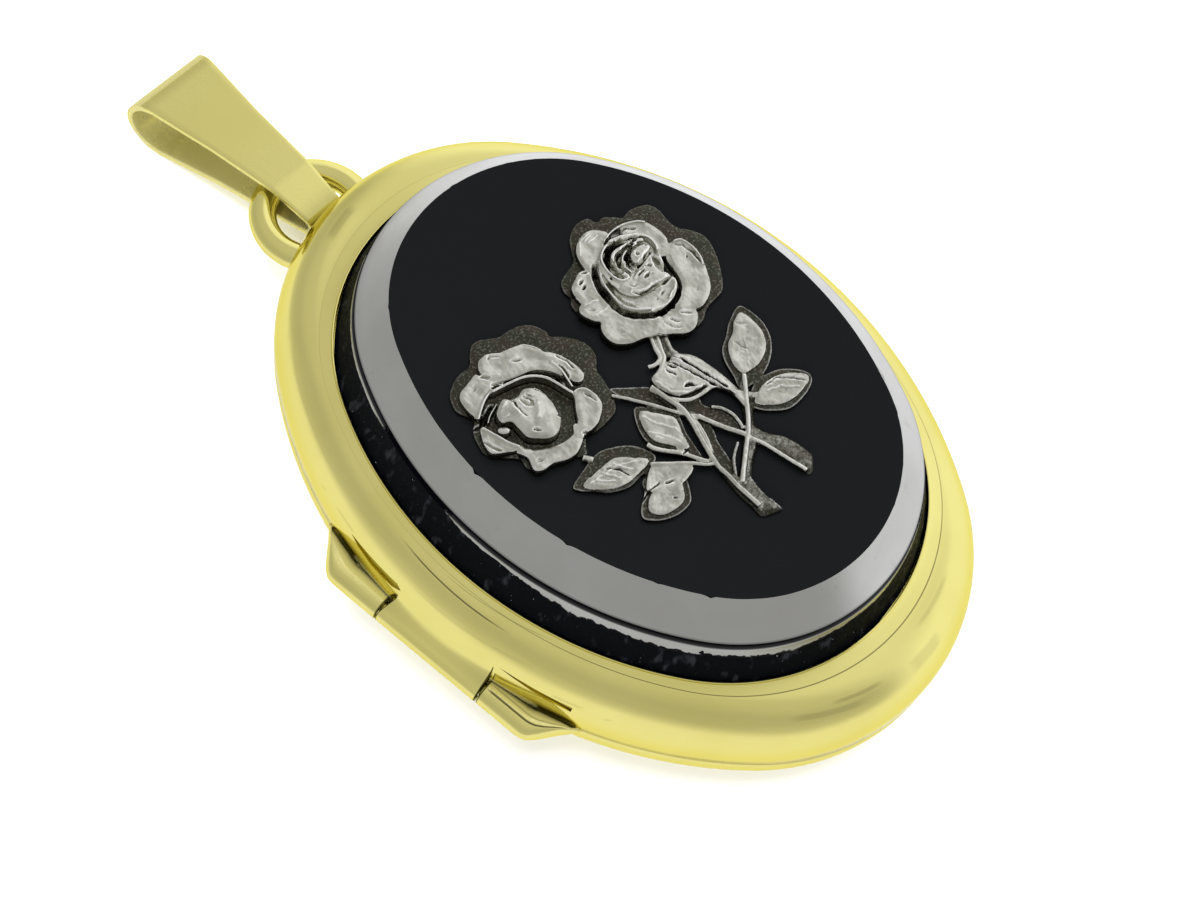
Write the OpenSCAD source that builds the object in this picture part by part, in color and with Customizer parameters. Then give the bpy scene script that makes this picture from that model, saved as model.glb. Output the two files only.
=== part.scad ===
// Oval hinged locket with a black stone tablet, a silver rose spray and a folded bail.
// Millimetres. The locket lies on its back: +Z is out of its face, +Y points to the bail,
// and the origin is the centre of the flat back.

/* [Case] */
// Length of the oval case, without loop and bail
case_l = 34; // [33:0.1:35]
// Height of the seam between the two halves
seam_z = 3; // [2.8:0.1:3.2]
// Gap between the two halves at the seam
seam_gap = 0.1; // [0.06:0.02:0.14]
// Thickness of the case walls at the seam
wall = 0.9; // [0.85:0.05:1]
// Height of the raised frame round the stone
frame_z = 6.85; // [6.7:0.05:7]
// Thickness of the back and of the plate under the stone
plate = 0.5; // [0.4:0.05:0.6]

/* [Stone] */
// Length of the stone at its girdle
stone_l = 25.9; // [25.5:0.1:26]
// Height of the table, the flat top of the stone
table_z = 10.4; // [10.2:0.1:10.6]
// Height of the girdle, where the bevel begins
girdle_z = 8.95; // [8.8:0.05:9.1]
// Width of the bevel, seen from above
bevel_w = 1.3; // [1.1:0.1:1.5]
// How far the stone spreads from its girdle down to the frame
stone_flare = 0.8; // [0.7:0.05:0.85]
// Thickness of the silver band on the bevel
band_t = 0.16; // [0.12:0.02:0.2]

/* [Hinge] */
// Outer radius of the knuckles
knuckle_r = 0.65; // [0.6:0.05:0.7]
// Radius of the pin
pin_r = 0.28; // [0.24:0.02:0.32]
// Length of the middle knuckle
knuckle_mid = 5.3; // [4.8:0.1:5.6]
// Length of the whole hinge along its outer edge
hinge_l = 10.9; // [10.5:0.1:11.3]

/* [Bail] */
// Width of the bail at its top
bail_w = 4.5; // [4.2:0.1:4.8]
// Width of the bail at its waist
bail_waist_w = 2.6; // [2.4:0.05:2.7]
// Width of the bail at its foot
bail_foot_w = 2.05; // [1.9:0.05:2.2]
// Outer radius of the bail's round top
bail_r = 1.5; // [1.4:0.01:1.6]
// Thickness of the bail's strip
bail_t = 0.33; // [0.25:0.01:0.35]
// Distance from the pivot to the centre of the bail's round top
bail_reach = 6.4; // [5:0.1:8]

/* [Loop] */
// Radius of the loop, at the middle of its wire
loop_r = 2.4; // [2.35:0.05:2.5]
// Radius of the loop's wire
wire_r = 0.6; // [0.5:0.02:0.6]

/* [Rose spray] */
// Radius of each rose, over its outer petals
rose_r = 3.6; // [3.3:0.1:3.7]
// Height of the roses above the table
rose_h = 1.35; // [1:0.05:1.6]
// Width of the stems
stem_w = 0.62; // [0.5:0.02:0.7]

/* [Hidden] */
$fn = 96;
eps = 0.01;
fit_gap = 0.03;
far = 40;

// An oval of four arcs is [end centre, side centre, distance between them, join angle, end radius].
// The arcs meet on lines at the join angle to the X axis. The centres are picked so that the
// three values fit each other exactly when rounded, because the arcs must meet without a gap.
case_oval = [6.971, 8.334, 10.8651, 39.9109, case_l / 2 - 6.971];
stone_oval = [4.35, 7.217, 8.4266, 31.0792, stone_l / 2 - 4.35];
case_w = 2 * (case_oval[4] + case_oval[2] - case_oval[1]);
function r3(p) = [round(p[0] * 1000) / 1000, round(p[1] * 1000) / 1000];

// An arc of [offset, height] points, from one angle to another
function arc(cx, cz, r, from, to, steps) =
    [for (i = [0:steps]) let(t = from + (to - from) * i / steps) [cx + r * cos(t), cz + r * sin(t)]];

lid_z = seam_z + seam_gap / 2;
back_z = seam_z - seam_gap / 2;
side_h = 0.85;

// Outside of the back, as offsets from the case's oval: a flat foot, a soft slope and a round side
back_r = 2.2;
foot_in = 4;
back_skin = concat([[-foot_in, 0]], arc(-back_r, back_r + 0.35, back_r, -80, 0, 8), [[0, back_z]]);

// Outside of the lid: a low upright side, a wide round shoulder and a nearly level top
shoulder_r = 3.9;
shoulder_end = 45;
shoulder = arc(-shoulder_r, lid_z + side_h, shoulder_r, 0, shoulder_end, 9);
lid_skin = concat([[0, lid_z]], shoulder, [[-2.6, frame_z]]);

// Insides of the two halves, and the lip on the back that the lid closes over
lip_t = 0.35;
lip_h = 0.55;
lip_out = -wall - 0.05;
floor_z = plate + 0.2;
back_room = [[-2.4, floor_z], [-wall - lip_t, floor_z + 0.95], [-wall - lip_t, far]];
lip_skin = [[lip_out, seam_z - 1], [lip_out, seam_z + lip_h - 0.1], [lip_out - 0.08, seam_z + lip_h]];
pocket_z = 5.7;
ceiling_z = pocket_z - plate;
lid_room = [[-wall, -1], [-wall, ceiling_z - 0.3], [-wall - 0.3, ceiling_z]];

// The opening in the lid that holds the stone, and the narrow ledge round it
opening_gap = 0.05;
ledge_w = 0.75;
ledge_drop = 0.28;

// Hinge line
hinge_x = -12.65;
notch_r = knuckle_r + 0.06;
knuckle_gap = 0.06;
taper_out = hinge_l / 2;
taper_in = hinge_l / 2 + 1.6;
taper_w = 1.9;

// The loop's centre lies outside the case, and its wire runs into the wall.
// The bail turns about the outermost part of the loop.
loop_y = case_l / 2 + 1.1;
loop_z = back_z - wire_r;
pivot_y = loop_y + loop_r;

// The bail's side is drawn through three circles [y, z, radius]: its foot, its eye and its round top.
// It sits a little to the right of the loop's middle and is turned a little to the right.
eye = [pivot_y - 0.5, loop_z + 0.1, 1.1];
foot = [eye[0] - 1.9, eye[1], 0.64];
top = [pivot_y + bail_reach, bail_r + 0.02, bail_r];
bail_shift = 0.32;
bail_turn = -2;

// One arc of an oval solid: the outline runs upwards, and the solid is closed at the arc's own axis
module oval_arc(radius, outline, from, turn) {
    points = [for (p = outline) r3([radius + p[0], p[1]])];
    axis_points = [[0, points[len(points) - 1][1]], [0, points[0][1]]];
    rotate_extrude(angle = turn, start = from) polygon(concat(points, axis_points));
}

// A solid oval whose side follows an outline of [offset, height] points
module oval_solid(o, outline) {
    join = o[3];
    for (side = [0, 180]) {
        rotate([0, 0, side]) translate([-o[1], 0, 0]) oval_arc(o[4] + o[2], outline, -join, 2 * join);
        rotate([0, 0, side]) translate([0, o[0], 0]) oval_arc(o[4], outline, join, 180 - 2 * join);
    }
}

module case_solid(outline) {
    oval_solid(case_oval, outline);
}

module stone_solid(outline) {
    oval_solid(stone_oval, outline);
}

// A cylinder along the hinge line, between two places along Y
module hinge_rod(r, y0, y1) {
    translate([hinge_x, y0, seam_z]) rotate([-90, 0, 0]) cylinder(r = r, h = y1 - y0);
}

// The plan of the hinge with its slanting ends, as a tall prism
module hinge_plan() {
    outer = hinge_x - knuckle_r - eps;
    translate([0, 0, seam_z - 3])
        linear_extrude(height = 6)
            polygon([
                [outer, -taper_out], [outer + taper_w, -taper_in],
                [outer + taper_w, taper_in], [outer, taper_out]
            ]);
}

// An outer knuckle and the web that joins it to the back
module back_knuckle(side) {
    inner = knuckle_mid / 2 + knuckle_gap;
    web_x = abs(hinge_x) - case_w / 2 + wall - 0.1;
    mirror([0, side < 0 ? 1 : 0, 0]) intersection() {
        union() {
            hinge_rod(knuckle_r, inner, taper_in);
            translate([hinge_x, inner, seam_z - knuckle_r])
                cube([web_x, taper_in - inner, knuckle_r - seam_gap / 2]);
        }
        hinge_plan();
    }
}

// The middle knuckle, with a ramp up to the shoulder of the lid
module lid_knuckle() {
    hinge_rod(knuckle_r, -knuckle_mid / 2, knuckle_mid / 2);
    translate([hinge_x, knuckle_mid / 2, lid_z]) rotate([90, 0, 0])
        linear_extrude(height = knuckle_mid)
            polygon([
                [0, 0], [-knuckle_r * 0.86, knuckle_r * 0.42],
                [-0.2, 1], [0.15, 1.7], [0.7, 1.9], [0.7, 0]
            ]);
}

module loop_ring() {
    translate([0, loop_y, loop_z]) rotate_extrude() translate([loop_r, 0]) circle(r = wire_r);
}

module back_case() {
    color("khaki") difference() {
        union() {
            difference() {
                union() {
                    case_solid(back_skin);
                    loop_ring();
                    case_solid(lip_skin);
                }
                case_solid(back_room);
                hinge_rod(notch_r, -knuckle_mid / 2 - knuckle_gap, knuckle_mid / 2 + knuckle_gap);
            }
            for (side = [-1, 1]) back_knuckle(side);
        }
        hinge_rod(pin_r + fit_gap, -hinge_l / 2 - 0.2, hinge_l / 2 + 0.2);
    }
}

module lid_frame() {
    ledge_z = frame_z - ledge_drop;
    opening = stone_flare + opening_gap;
    ledge_out = opening + ledge_w;
    color("khaki") difference() {
        union() {
            difference() {
                case_solid(lid_skin);
                case_solid(lid_room);
                for (side = [-1, 1]) {
                    inner = side > 0 ? knuckle_mid / 2 : -far;
                    outer = side > 0 ? far : -knuckle_mid / 2;
                    hinge_rod(notch_r, inner, outer);
                }
                stone_solid([[opening, pocket_z], [opening, far]]);
                stone_solid([[opening, ledge_z], [ledge_out, frame_z - 0.12], [ledge_out, far]]);
            }
            lid_knuckle();
        }
        hinge_rod(pin_r + fit_gap, -knuckle_mid / 2 - 1, knuckle_mid / 2 + 1);
    }
}

module hinge_pin() {
    color("goldenrod") hinge_rod(pin_r, -hinge_l / 2 - 0.1, hinge_l / 2 + 0.1);
}

// Direction square to the bevel's slope, for the thickness of the band
bevel_rise = table_z - girdle_z;
bevel_run = norm([bevel_w, bevel_rise]);
bevel_out = [bevel_rise / bevel_run, bevel_w / bevel_run];
lip_drop = 0.38;
lip_flare = 0.14;

// A point of the bevel's slope, sunk below it by a depth
function bevel_point(along, depth) =
    [-bevel_w * along - depth * bevel_out[0], girdle_z + bevel_rise * along - depth * bevel_out[1]];

module stone_tablet() {
    low = bevel_point(0, band_t + 0.02);
    high = bevel_point(1, band_t + 0.02);
    lip_z = girdle_z - lip_drop;
    color("black") stone_solid([
        [stone_flare, pocket_z + 0.02],
        [stone_flare, frame_z - ledge_drop],
        [lip_flare, lip_z - 0.02],
        [low[0] + lip_flare * 0.4, lip_z - 0.02],
        low,
        high,
        [high[0], table_z]
    ]);
}

module bevel_band() {
    inner = bevel_point(0, band_t);
    lip_z = girdle_z - lip_drop;
    color("silver") difference() {
        stone_solid([
            [lip_flare, lip_z],
            [0.02, girdle_z - 0.06],
            [-0.05, girdle_z + 0.03],
            [-bevel_w, table_z]
        ]);
        stone_solid([
            [inner[0] + lip_flare * 0.6, lip_z - 1],
            [inner[0] + lip_flare * 0.6, lip_z + 0.06],
            inner,
            bevel_point(1, band_t),
            [bevel_point(1, band_t)[0], far]
        ]);
    }
}

// Each stem runs through its points [x, y] on the table
stem_right = [[1.7, 1], [0.4, -0.6], [1.2, -2.4], [0.2, -4.9], [-1.7, -6.3], [-2, -7.8]];
stem_left = [[-2.8, 1], [-1, -2.2], [0.1, -4.7], [0.8, -7.6]];
stem_mid = [[-1, -2.2], [-1.4, -4.2], [-1.8, -6.2]];
stem_top_leaf = [[2.4, -3.2], [0.9, -4.3], [0.1, -4.9]];
stem_low_leaf = [[-3.3, -2.9], [-2.4, -4.1], [-1.7, -5.6]];
stems = [stem_right, stem_left, stem_mid, stem_top_leaf, stem_low_leaf];

// Leaves by column: foot x, foot y, tip x, tip y, width
leaves = [
    [2.3, -3.3, 4.9, -0.9, 1.9],
    [1, -4.2, 4.3, -5.5, 1.7],
    [1.3, -3.4, -0.5, -0.6, 1.8],
    [-1.7, -4.8, -1.9, -0.9, 2],
    [-3.2, -3, -6.4, -1.3, 1.7],
    [-2.3, -4.3, -5.6, -4.6, 1.8]
];

// Roses by column: centre x, centre y, turn of the first petal
roses = [[3.35, 3, 20], [-4.4, 2.4, 50]];
petal_count = 8;

module stem(points) {
    r = stem_w / 2;
    for (i = [1:len(points) - 1]) {
        a = points[i - 1];
        b = points[i];
        turn = atan2(b[1] - a[1], b[0] - a[0]);
        translate([a[0], a[1], 0.1]) rotate([0, 90, turn]) cylinder(r = r, h = norm(b - a));
        translate([b[0], b[1], 0.1]) sphere(r = r + 0.06);
    }
}

// A leaf: a low ball, trimmed to a pointed outline by two upright cylinders
module leaf(l) {
    span = norm([l[2] - l[0], l[3] - l[1]]);
    turn = atan2(l[3] - l[1], l[2] - l[0]);
    side_r = (span * span / 4 + l[4] * l[4] / 4) / l[4];
    ball_r = 2.6;
    translate([l[0], l[1], 0]) rotate([0, 0, turn]) intersection() {
        translate([span / 2, side_r - l[4] / 2, -1]) cylinder(r = side_r, h = 3);
        translate([span / 2, l[4] / 2 - side_r, -1]) cylinder(r = side_r, h = 3);
        translate([span / 2, 0, 0.65 - ball_r]) sphere(r = ball_r);
    }
}

// A rose: a body, eight outer petals, five inner ones, and a bud with a hollow in the middle
module rose(turn) {
    petal_r = rose_r * 0.36;
    translate([0, 0, -0.5]) cylinder(r1 = rose_r * 0.82, r2 = rose_r * 0.66, h = 0.5 + rose_h * 0.5);
    for (k = [0:petal_count - 1]) rotate([0, 0, turn + k * 360 / petal_count])
        translate([rose_r - petal_r, 0, rose_h * 0.52 - petal_r]) sphere(r = petal_r);
    for (k = [0:4]) rotate([0, 0, turn + 9 + k * 72])
        translate([rose_r * 0.36, 0, rose_h * 0.8 - rose_r * 0.29]) sphere(r = rose_r * 0.29);
    rotate_extrude() polygon([
        [0, 0], [rose_r * 0.37, 0], [rose_r * 0.35, rose_h * 0.9], [rose_r * 0.28, rose_h],
        [rose_r * 0.2, rose_h * 0.94], [rose_r * 0.15, rose_h * 0.8], [0, rose_h * 0.9]
    ]);
}

module rose_spray() {
    color("gainsboro") translate([0, 0, table_z + 0.02]) intersection() {
        union() {
            for (s = stems) stem(s);
            for (l = leaves) leaf(l);
            for (r = roses) translate([r[0], r[1], 0]) rose(r[2]);
        }
        translate([-10, -12, 0]) cube([20, 24, 5]);
    }
}

// Direction from a circle's centre to the line that touches it and the next circle on one side
function touch(a, b, side) =
    atan2(b[1] - a[1], b[0] - a[0]) + side * acos((a[2] - b[2]) / norm([b[0] - a[0], b[1] - a[1]]));

// The outline drawn tight round the bail's three circles, each smaller by an inset
function bail_outline(inset) =
    let(f = foot - [0, 0, inset], e = eye - [0, 0, inset], t = top - [0, 0, inset])
    concat(
        arc(t[0], t[1], t[2], touch(e, t, -1), touch(e, t, 1), 20),
        arc(e[0], e[1], e[2], touch(e, t, 1), touch(f, e, 1), 2),
        arc(f[0], f[1], f[2], touch(f, e, 1), touch(f, e, -1) + 360, 12),
        arc(e[0], e[1], e[2], touch(f, e, -1) + 360, touch(e, t, -1) + 360, 2)
    );

module bail_strip() {
    foot_y = foot[0] - foot[2] - eps;
    waist_y = pivot_y + 0.9;
    top_y = top[0] + top[2] + eps;
    half_foot = bail_foot_w / 2;
    half_waist = bail_waist_w / 2;
    half_top = bail_w / 2;
    intersection() {
        translate([-bail_w, 0, 0]) rotate([90, 0, 90]) linear_extrude(height = 2 * bail_w) difference() {
            polygon(bail_outline(0));
            polygon(bail_outline(bail_t));
        }
        translate([0, 0, -1]) linear_extrude(height = 8) polygon([
            [-half_foot, foot_y], [half_foot, foot_y], [half_waist, waist_y],
            [half_top, top_y], [-half_top, top_y], [-half_waist, waist_y]
        ]);
    }
}

module bail() {
    color("khaki") translate([bail_shift, pivot_y, 0]) rotate([0, 0, bail_turn]) translate([0, -pivot_y, 0])
        bail_strip();
}

back_case();
lid_frame();
hinge_pin();
stone_tablet();
bevel_band();
rose_spray();
bail();
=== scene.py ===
"""An oval hinged locket with a black stone, a silver rose spray and a folded bail, lying on its back."""

import math
from contextlib import contextmanager

import bmesh
import bpy
import numpy as np
from mathutils import Matrix, Vector, noise


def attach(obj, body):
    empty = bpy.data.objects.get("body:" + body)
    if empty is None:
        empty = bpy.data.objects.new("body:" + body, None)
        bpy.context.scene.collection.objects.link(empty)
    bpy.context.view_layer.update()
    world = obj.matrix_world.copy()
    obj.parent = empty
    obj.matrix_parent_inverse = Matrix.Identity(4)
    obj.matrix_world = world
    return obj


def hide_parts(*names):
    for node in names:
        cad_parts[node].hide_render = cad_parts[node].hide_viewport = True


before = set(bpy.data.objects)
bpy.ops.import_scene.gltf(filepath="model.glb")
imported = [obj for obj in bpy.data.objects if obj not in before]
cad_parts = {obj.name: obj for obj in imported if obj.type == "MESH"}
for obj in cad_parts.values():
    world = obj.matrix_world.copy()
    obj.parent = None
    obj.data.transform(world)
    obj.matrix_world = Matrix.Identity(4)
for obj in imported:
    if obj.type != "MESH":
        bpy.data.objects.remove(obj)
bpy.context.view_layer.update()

bl_info = {
    "name": "Flower Locket",
    "version": (1, 0, 0),
    "blender": (4, 5, 0),
    "location": "3D View > Sidebar > Locket",
    "description": "Builds an oval locket with a rose spray, piece by piece",
    "category": "Object",
}

# Sizes are in millimetres unless a comment says otherwise, and MM makes them metres
MM = 0.001

# Ovals of four arcs: y of an end's centre, x of a side's centre, the distance between the two,
# and the angle in degrees at which the arcs join
CASE_OVAL = (6.971, 8.334, 10.8651, 39.9109)
STONE_OVAL = (4.35, 7.217, 8.4266, 31.0792)
END_STEPS = 72
SIDE_STEPS = 88

# Heights of the seam between the shells and of the stone's flat top
SEAM_Z = 3.0
TABLE_Z = 10.4

# The hinge: its axis at HINGE_X and SEAM_Z, the ends of the middle knuckle and of the outer ones,
# the notches that clear the knuckles, and the hole for the pin
HINGE_X = -12.65
KNUCKLE_R = 0.65
KNUCKLE_HIGH = 2.65
KNUCKLE_LOW = -2.82
KNUCKLE_GAP = 0.06
KNUCKLE_END = 7.08
NOTCH_R = 0.71
NOTCH_END = 5.3
HOLE_R = 0.31

# The case's side near the hinge lies at SIDE_X + y * y / SIDE_BOW
SIDE_X = -12.56
SIDE_BOW = 41.8

# Slots in the lid's side above the outer knuckles, as (y, z)
SLOT_UPPER = ((5.45, 4.86), (2.5, 5.1), (2.2, 4.92), (2.7, 4.66), (4.0, 4.54), (5.0, 4.68))
SLOT_LOWER = ((-2.95, 5.02), (-6.3, 4.84), (-6.3, 4.5), (-4.6, 4.7))
SLOT_DEPTH = 0.2

# The lid's ledge: its outer edge, where the shoulder meets it, the crease just inside that, which gets a
# painted dark line of shade, and the plate that the stone sits on
LEDGE_Z = 6.664
CREASE_Z = 6.665
SEAT_Z = 5.7

# The middle of the loop
LOOP_Y = 18.1
LOOP_Z = 2.35

# The ornament's outlines are drawn on one level above the table. A layer at another height slides
# along LEAN for each millimetre that it lies lower, so that the layers stack up as they are seen.
LEAN = Vector((0.48, 0.2))
ROSE_LEVEL = 11.3
SPRIG_LEVEL = 10.8

# Seed of the noise that makes the strokes of the casting uneven, so that each run gives the same
NOISE_SEED = 1795719713

# Heights in metres that are closer than this are the same
SAME_HEIGHT = 2e-6

# Lowest and highest roughness of a gold, and the depth of its stipple
POLISHED = (0.085, 0.17, 0.0007)
SATIN = (0.24, 0.34, 0.0016)


def length(name, about, value, high=100):
    """A length property, from 0 to high millimetres."""
    return bpy.props.FloatProperty(
        name=name, description=about, default=value * MM, min=0.0, max=high * MM, unit="LENGTH", precision=5
    )


def colour(name, about, value):
    """A colour property."""
    return bpy.props.FloatVectorProperty(
        name=name, description=about, default=value, size=3, min=0.0, max=1.0, subtype="COLOR"
    )


class LocketSizes(bpy.types.PropertyGroup):
    """Sizes that a user would change"""

    case_length: length("Case length", "Length of the oval case without its loop", 34)
    stone_length: length("Stone length", "Length of the stone at its girdle", 25.9)
    loop_radius: length("Loop radius", "Radius of the loop, at the middle of its wire", 2.38)
    wire_radius: length("Wire radius", "Radius of the loop's wire", 0.64)
    bail_width: length("Bail width", "Width of the bail at its top", 4.5)
    bail_thickness: length("Bail thickness", "Thickness of the bail's strip", 0.33)
    grain: length("Casting grain", "Cell size of the cast spray's surface", 0.039, 1)


class LocketColours(bpy.types.PropertyGroup):
    """Colours that a user would change"""

    gold: colour("Gold", "Polished case", (0.86, 0.78, 0.28))
    gold_deep: colour("Deep gold", "Olive tone in patches of the gold", (0.78, 0.70, 0.22))
    # Painted shade: a darker, duller gold inside the notches, inside the bail's fold and on the knuckles'
    # sides towards the case
    gold_inside_shade: colour("Inner gold", "Gold inside the hinge's notches and the bail", (0.52, 0.48, 0.20))
    # Painted shade in creases, slots, notches and gaps between knuckles; also the colour of the scratches
    # and the lower knuckle's seams
    gold_shade_and_lines: colour("Dark gold", "Creases, slots and scratches of the gold", (0.05, 0.045, 0.012))
    silver: colour("Silver", "Band on the bevel", (0.54, 0.54, 0.52))
    cast_silver: colour("Cast silver", "Worn high places of the spray", (0.62, 0.61, 0.55))
    stone: colour("Stone", "Black tablet", (0.0046, 0.0049, 0.0052))
    floor: colour("Floor", "Surface that the locket lies on", (0.86, 0.86, 0.86))


# Modelling helpers


def point(x, y, z=0.0):
    """A point given in millimetres."""
    return Vector((x, y, z)) * MM


def only(piece):
    """Selects one piece alone and makes it active."""
    bpy.ops.object.select_all(action="DESELECT")
    piece.select_set(True)
    bpy.context.view_layer.objects.active = piece


@contextmanager
def editing(piece, mode="VERT"):
    """Edit mode on one piece alone, with all of it selected."""
    only(piece)
    bpy.ops.object.mode_set(mode="EDIT")
    bpy.ops.mesh.select_mode(type=mode)
    bpy.ops.mesh.select_all(action="SELECT")
    yield
    bpy.ops.mesh.select_mode(type="VERT")
    bpy.ops.object.mode_set(mode="OBJECT")


def pick(piece, kind, test):
    """In edit mode, selects the verts, edges or faces that pass a test."""
    bpy.ops.mesh.select_all(action="DESELECT")
    shape = bmesh.from_edit_mesh(piece.data)
    for part in getattr(shape, kind):
        if test(part):
            part.select_set(True)
    bmesh.update_edit_mesh(piece.data)


def extrude(step):
    """In edit mode, extrudes what is selected by a step."""
    bpy.ops.mesh.extrude_region_move(TRANSFORM_OT_translate={"value": step})


def trace(name, points, closed=False):
    """A chain of edges through points, drawn by extruding one vertex from point to point."""
    bpy.ops.object.select_all(action="DESELECT")
    bpy.ops.mesh.primitive_plane_add(size=MM)
    piece = bpy.context.object
    piece.name = piece.data.name = name
    with editing(piece):
        bpy.ops.mesh.merge(type="CENTER")
        bpy.ops.transform.translate(value=points[0])
        for a, b in zip(points, points[1:]):
            extrude(b - a)
        if closed:
            shape = bmesh.from_edit_mesh(piece.data)
            shape.verts.ensure_lookup_table()
            ends = (shape.verts[0], shape.verts[-1])
            pick(piece, "verts", lambda v: v in ends)
            bpy.ops.mesh.edge_face_add()
    return piece


def draw_out(piece, *steps):
    """Closes a traced loop with a face and extrudes it step by step into a solid."""
    with editing(piece):
        bpy.ops.mesh.edge_face_add()
        for step in steps:
            extrude(step)


def smooth_path(points, steps=5, closed=False):
    """Points on a smooth curve through the given ones."""
    count = len(points)
    curve = []
    for i in range(count if closed else count - 1):
        near = range(i - 1, i + 3)
        a, b, c, d = [points[k % count if closed else min(max(k, 0), count - 1)] for k in near]
        for s in range(steps):
            t = s / steps
            square = (2 * a - 5 * b + 4 * c - d) * t**2
            cube = (3 * b - a - 3 * c + d) * t**3
            curve.append(0.5 * (2 * b + (c - a) * t + square + cube))
    if not closed:
        curve.append(points[-1].copy())
    return curve


def arc(cx, cz, r, start, end, steps):
    """Points (offset, height) on an arc, in millimetres and degrees."""
    turns = [math.radians(start + (end - start) * i / steps) for i in range(steps + 1)]
    return [(cx + r * math.cos(t), cz + r * math.sin(t)) for t in turns]


def sweep(name, oval, whole_length, outline, closed=False):
    """Spins an outline of (offset, height) points round the four arcs of an oval."""
    end_y, side_x, gap, corner = oval
    end_r = whole_length / MM / 2 - end_y
    corner = math.radians(corner)
    side_r = end_r + gap
    away = Vector((math.cos(corner), -math.sin(corner)))
    points = [point(away.x * (side_r + o) - side_x, away.y * (side_r + o), z) for o, z in outline]
    piece = trace(name, points, closed)
    turns = (
        (point(-side_x, 0), 2 * corner, SIDE_STEPS),
        (point(0, end_y), math.pi - 2 * corner, END_STEPS),
        (point(side_x, 0), 2 * corner, SIDE_STEPS),
        (point(0, -end_y), math.pi - 2 * corner, END_STEPS),
    )
    with editing(piece):
        for centre, turn, steps in turns:
            bpy.ops.mesh.spin(steps=steps, angle=-turn, center=centre, axis=(0, 0, 1))
        bpy.ops.mesh.select_all(action="SELECT")
        bpy.ops.mesh.remove_doubles(threshold=0.002 * MM)
    return piece


def open_edge(z):
    """A test for the open edges at a height."""
    return lambda e: e.is_boundary and all(abs(v.co.z - z * MM) < SAME_HEIGHT for v in e.verts)


def close_hole(piece, z, rim=0.3):
    """Fills the open loop at a height, with a narrow ring of faces round the flat."""
    with editing(piece, "EDGE"):
        pick(piece, "edges", open_edge(z))
        bpy.ops.mesh.edge_face_add()
        bpy.ops.mesh.select_mode(type="FACE")
        pick(
            piece,
            "faces",
            lambda f: len(f.verts) > 20 and abs(f.calc_center_median().z - z * MM) < SAME_HEIGHT,
        )
        bpy.ops.mesh.inset(thickness=rim * MM)


def face_out(piece):
    """Turns the faces of a closed piece outwards."""
    with editing(piece):
        bpy.ops.mesh.normals_make_consistent(inside=False)


def modify(piece, kind, **settings):
    """Adds a modifier and applies it."""
    only(piece)
    modifier = piece.modifiers.new(kind.title(), kind)
    for key, value in settings.items():
        setattr(modifier, key, value)
    bpy.ops.object.modifier_apply(modifier=modifier.name)


def round_edges(piece, width, segments):
    """Bevels the edges that are sharper than 60 degrees."""
    limit = math.radians(60)
    modify(piece, "BEVEL", width=width * MM, segments=segments, limit_method="ANGLE", angle_limit=limit)


def cut(piece, cutter):
    """Takes a cutter's shape out of a piece and removes the cutter."""
    modify(piece, "BOOLEAN", operation="DIFFERENCE", solver="EXACT", object=cutter)
    bpy.data.objects.remove(cutter)


def join(name, pieces):
    """Joins pieces into the first one."""
    bpy.ops.object.select_all(action="DESELECT")
    for piece in pieces:
        piece.select_set(True)
    bpy.context.view_layer.objects.active = pieces[0]
    bpy.ops.object.join()
    pieces[0].name = pieces[0].data.name = name
    return pieces[0]


def soften(piece, angle=30):
    """Smooth shading, with edges sharper than an angle kept crisp."""
    only(piece)
    bpy.ops.object.shade_smooth_by_angle(angle=math.radians(angle))


def rod(radius, y0, y1, sides=48):
    """A cylinder about the hinge's axis, to cut with."""
    bpy.ops.object.select_all(action="DESELECT")
    bpy.ops.mesh.primitive_cylinder_add(
        vertices=sides,
        radius=radius * MM,
        depth=(y1 - y0) * MM,
        location=point(HINGE_X, (y0 + y1) / 2, SEAM_Z),
        rotation=(math.pi / 2, 0, 0),
    )
    bpy.ops.object.transform_apply(location=True, rotation=True, scale=True)
    return bpy.context.object


def coat(piece, finish):
    """Gives a piece one material."""
    piece.data.materials.clear()
    piece.data.materials.append(finish)


def place(piece, body, slot, finish, *nodes):
    """Gives a finished piece its material and body, and hides the CAD nodes that it stands for; slot is not
    used.
    """
    coat(piece, finish)
    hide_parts(*nodes)
    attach(piece, body)


def vertices_of(piece):
    """The vertices of a piece in millimetres, as an array."""
    co = np.empty(len(piece.data.vertices) * 3)
    piece.data.vertices.foreach_get("co", co)
    return co.reshape(-1, 3) / MM


def set_vertices(piece, co):
    """Moves the vertices of a piece to places in millimetres."""
    piece.data.vertices.foreach_set("co", (co * MM).ravel())
    piece.data.update()


def normals_of(piece):
    """The normals at the vertices of a piece, as an array."""
    return np.array([v.normal for v in piece.data.vertices])


def distance_to_path(flat, path):
    """Distance of each (x, y) to a path of points, and the path's length from there to its nearer end."""
    best = np.full(len(flat), 1e9)
    done = np.zeros(len(flat))
    run = 0.0
    for a, b in zip(path, path[1:]):
        a, b = np.array(a), np.array(b)
        d = b - a
        t = np.clip(((flat - a) @ d) / max(d @ d, 1e-12), 0, 1)
        away = np.linalg.norm(flat - a - t[:, None] * d, axis=1)
        nearer = away < best
        best[nearer] = away[nearer]
        done[nearer] = run + t[nearer] * np.linalg.norm(d)
        run += np.linalg.norm(d)
    return best, np.minimum(done, run - done)


def ease(values, low, high):
    """0 below low, 1 above high, and a smooth step between."""
    share = np.clip((values - low) / (high - low), 0, 1)
    return share**2 * (3 - 2 * share)


def write_values(piece, name, values):
    """Stores one number for each vertex under a name that a material reads."""
    layer = piece.data.attributes.new(name, "FLOAT", "POINT")
    layer.data.foreach_set("value", values.astype(np.float32))


# Finishes


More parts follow.
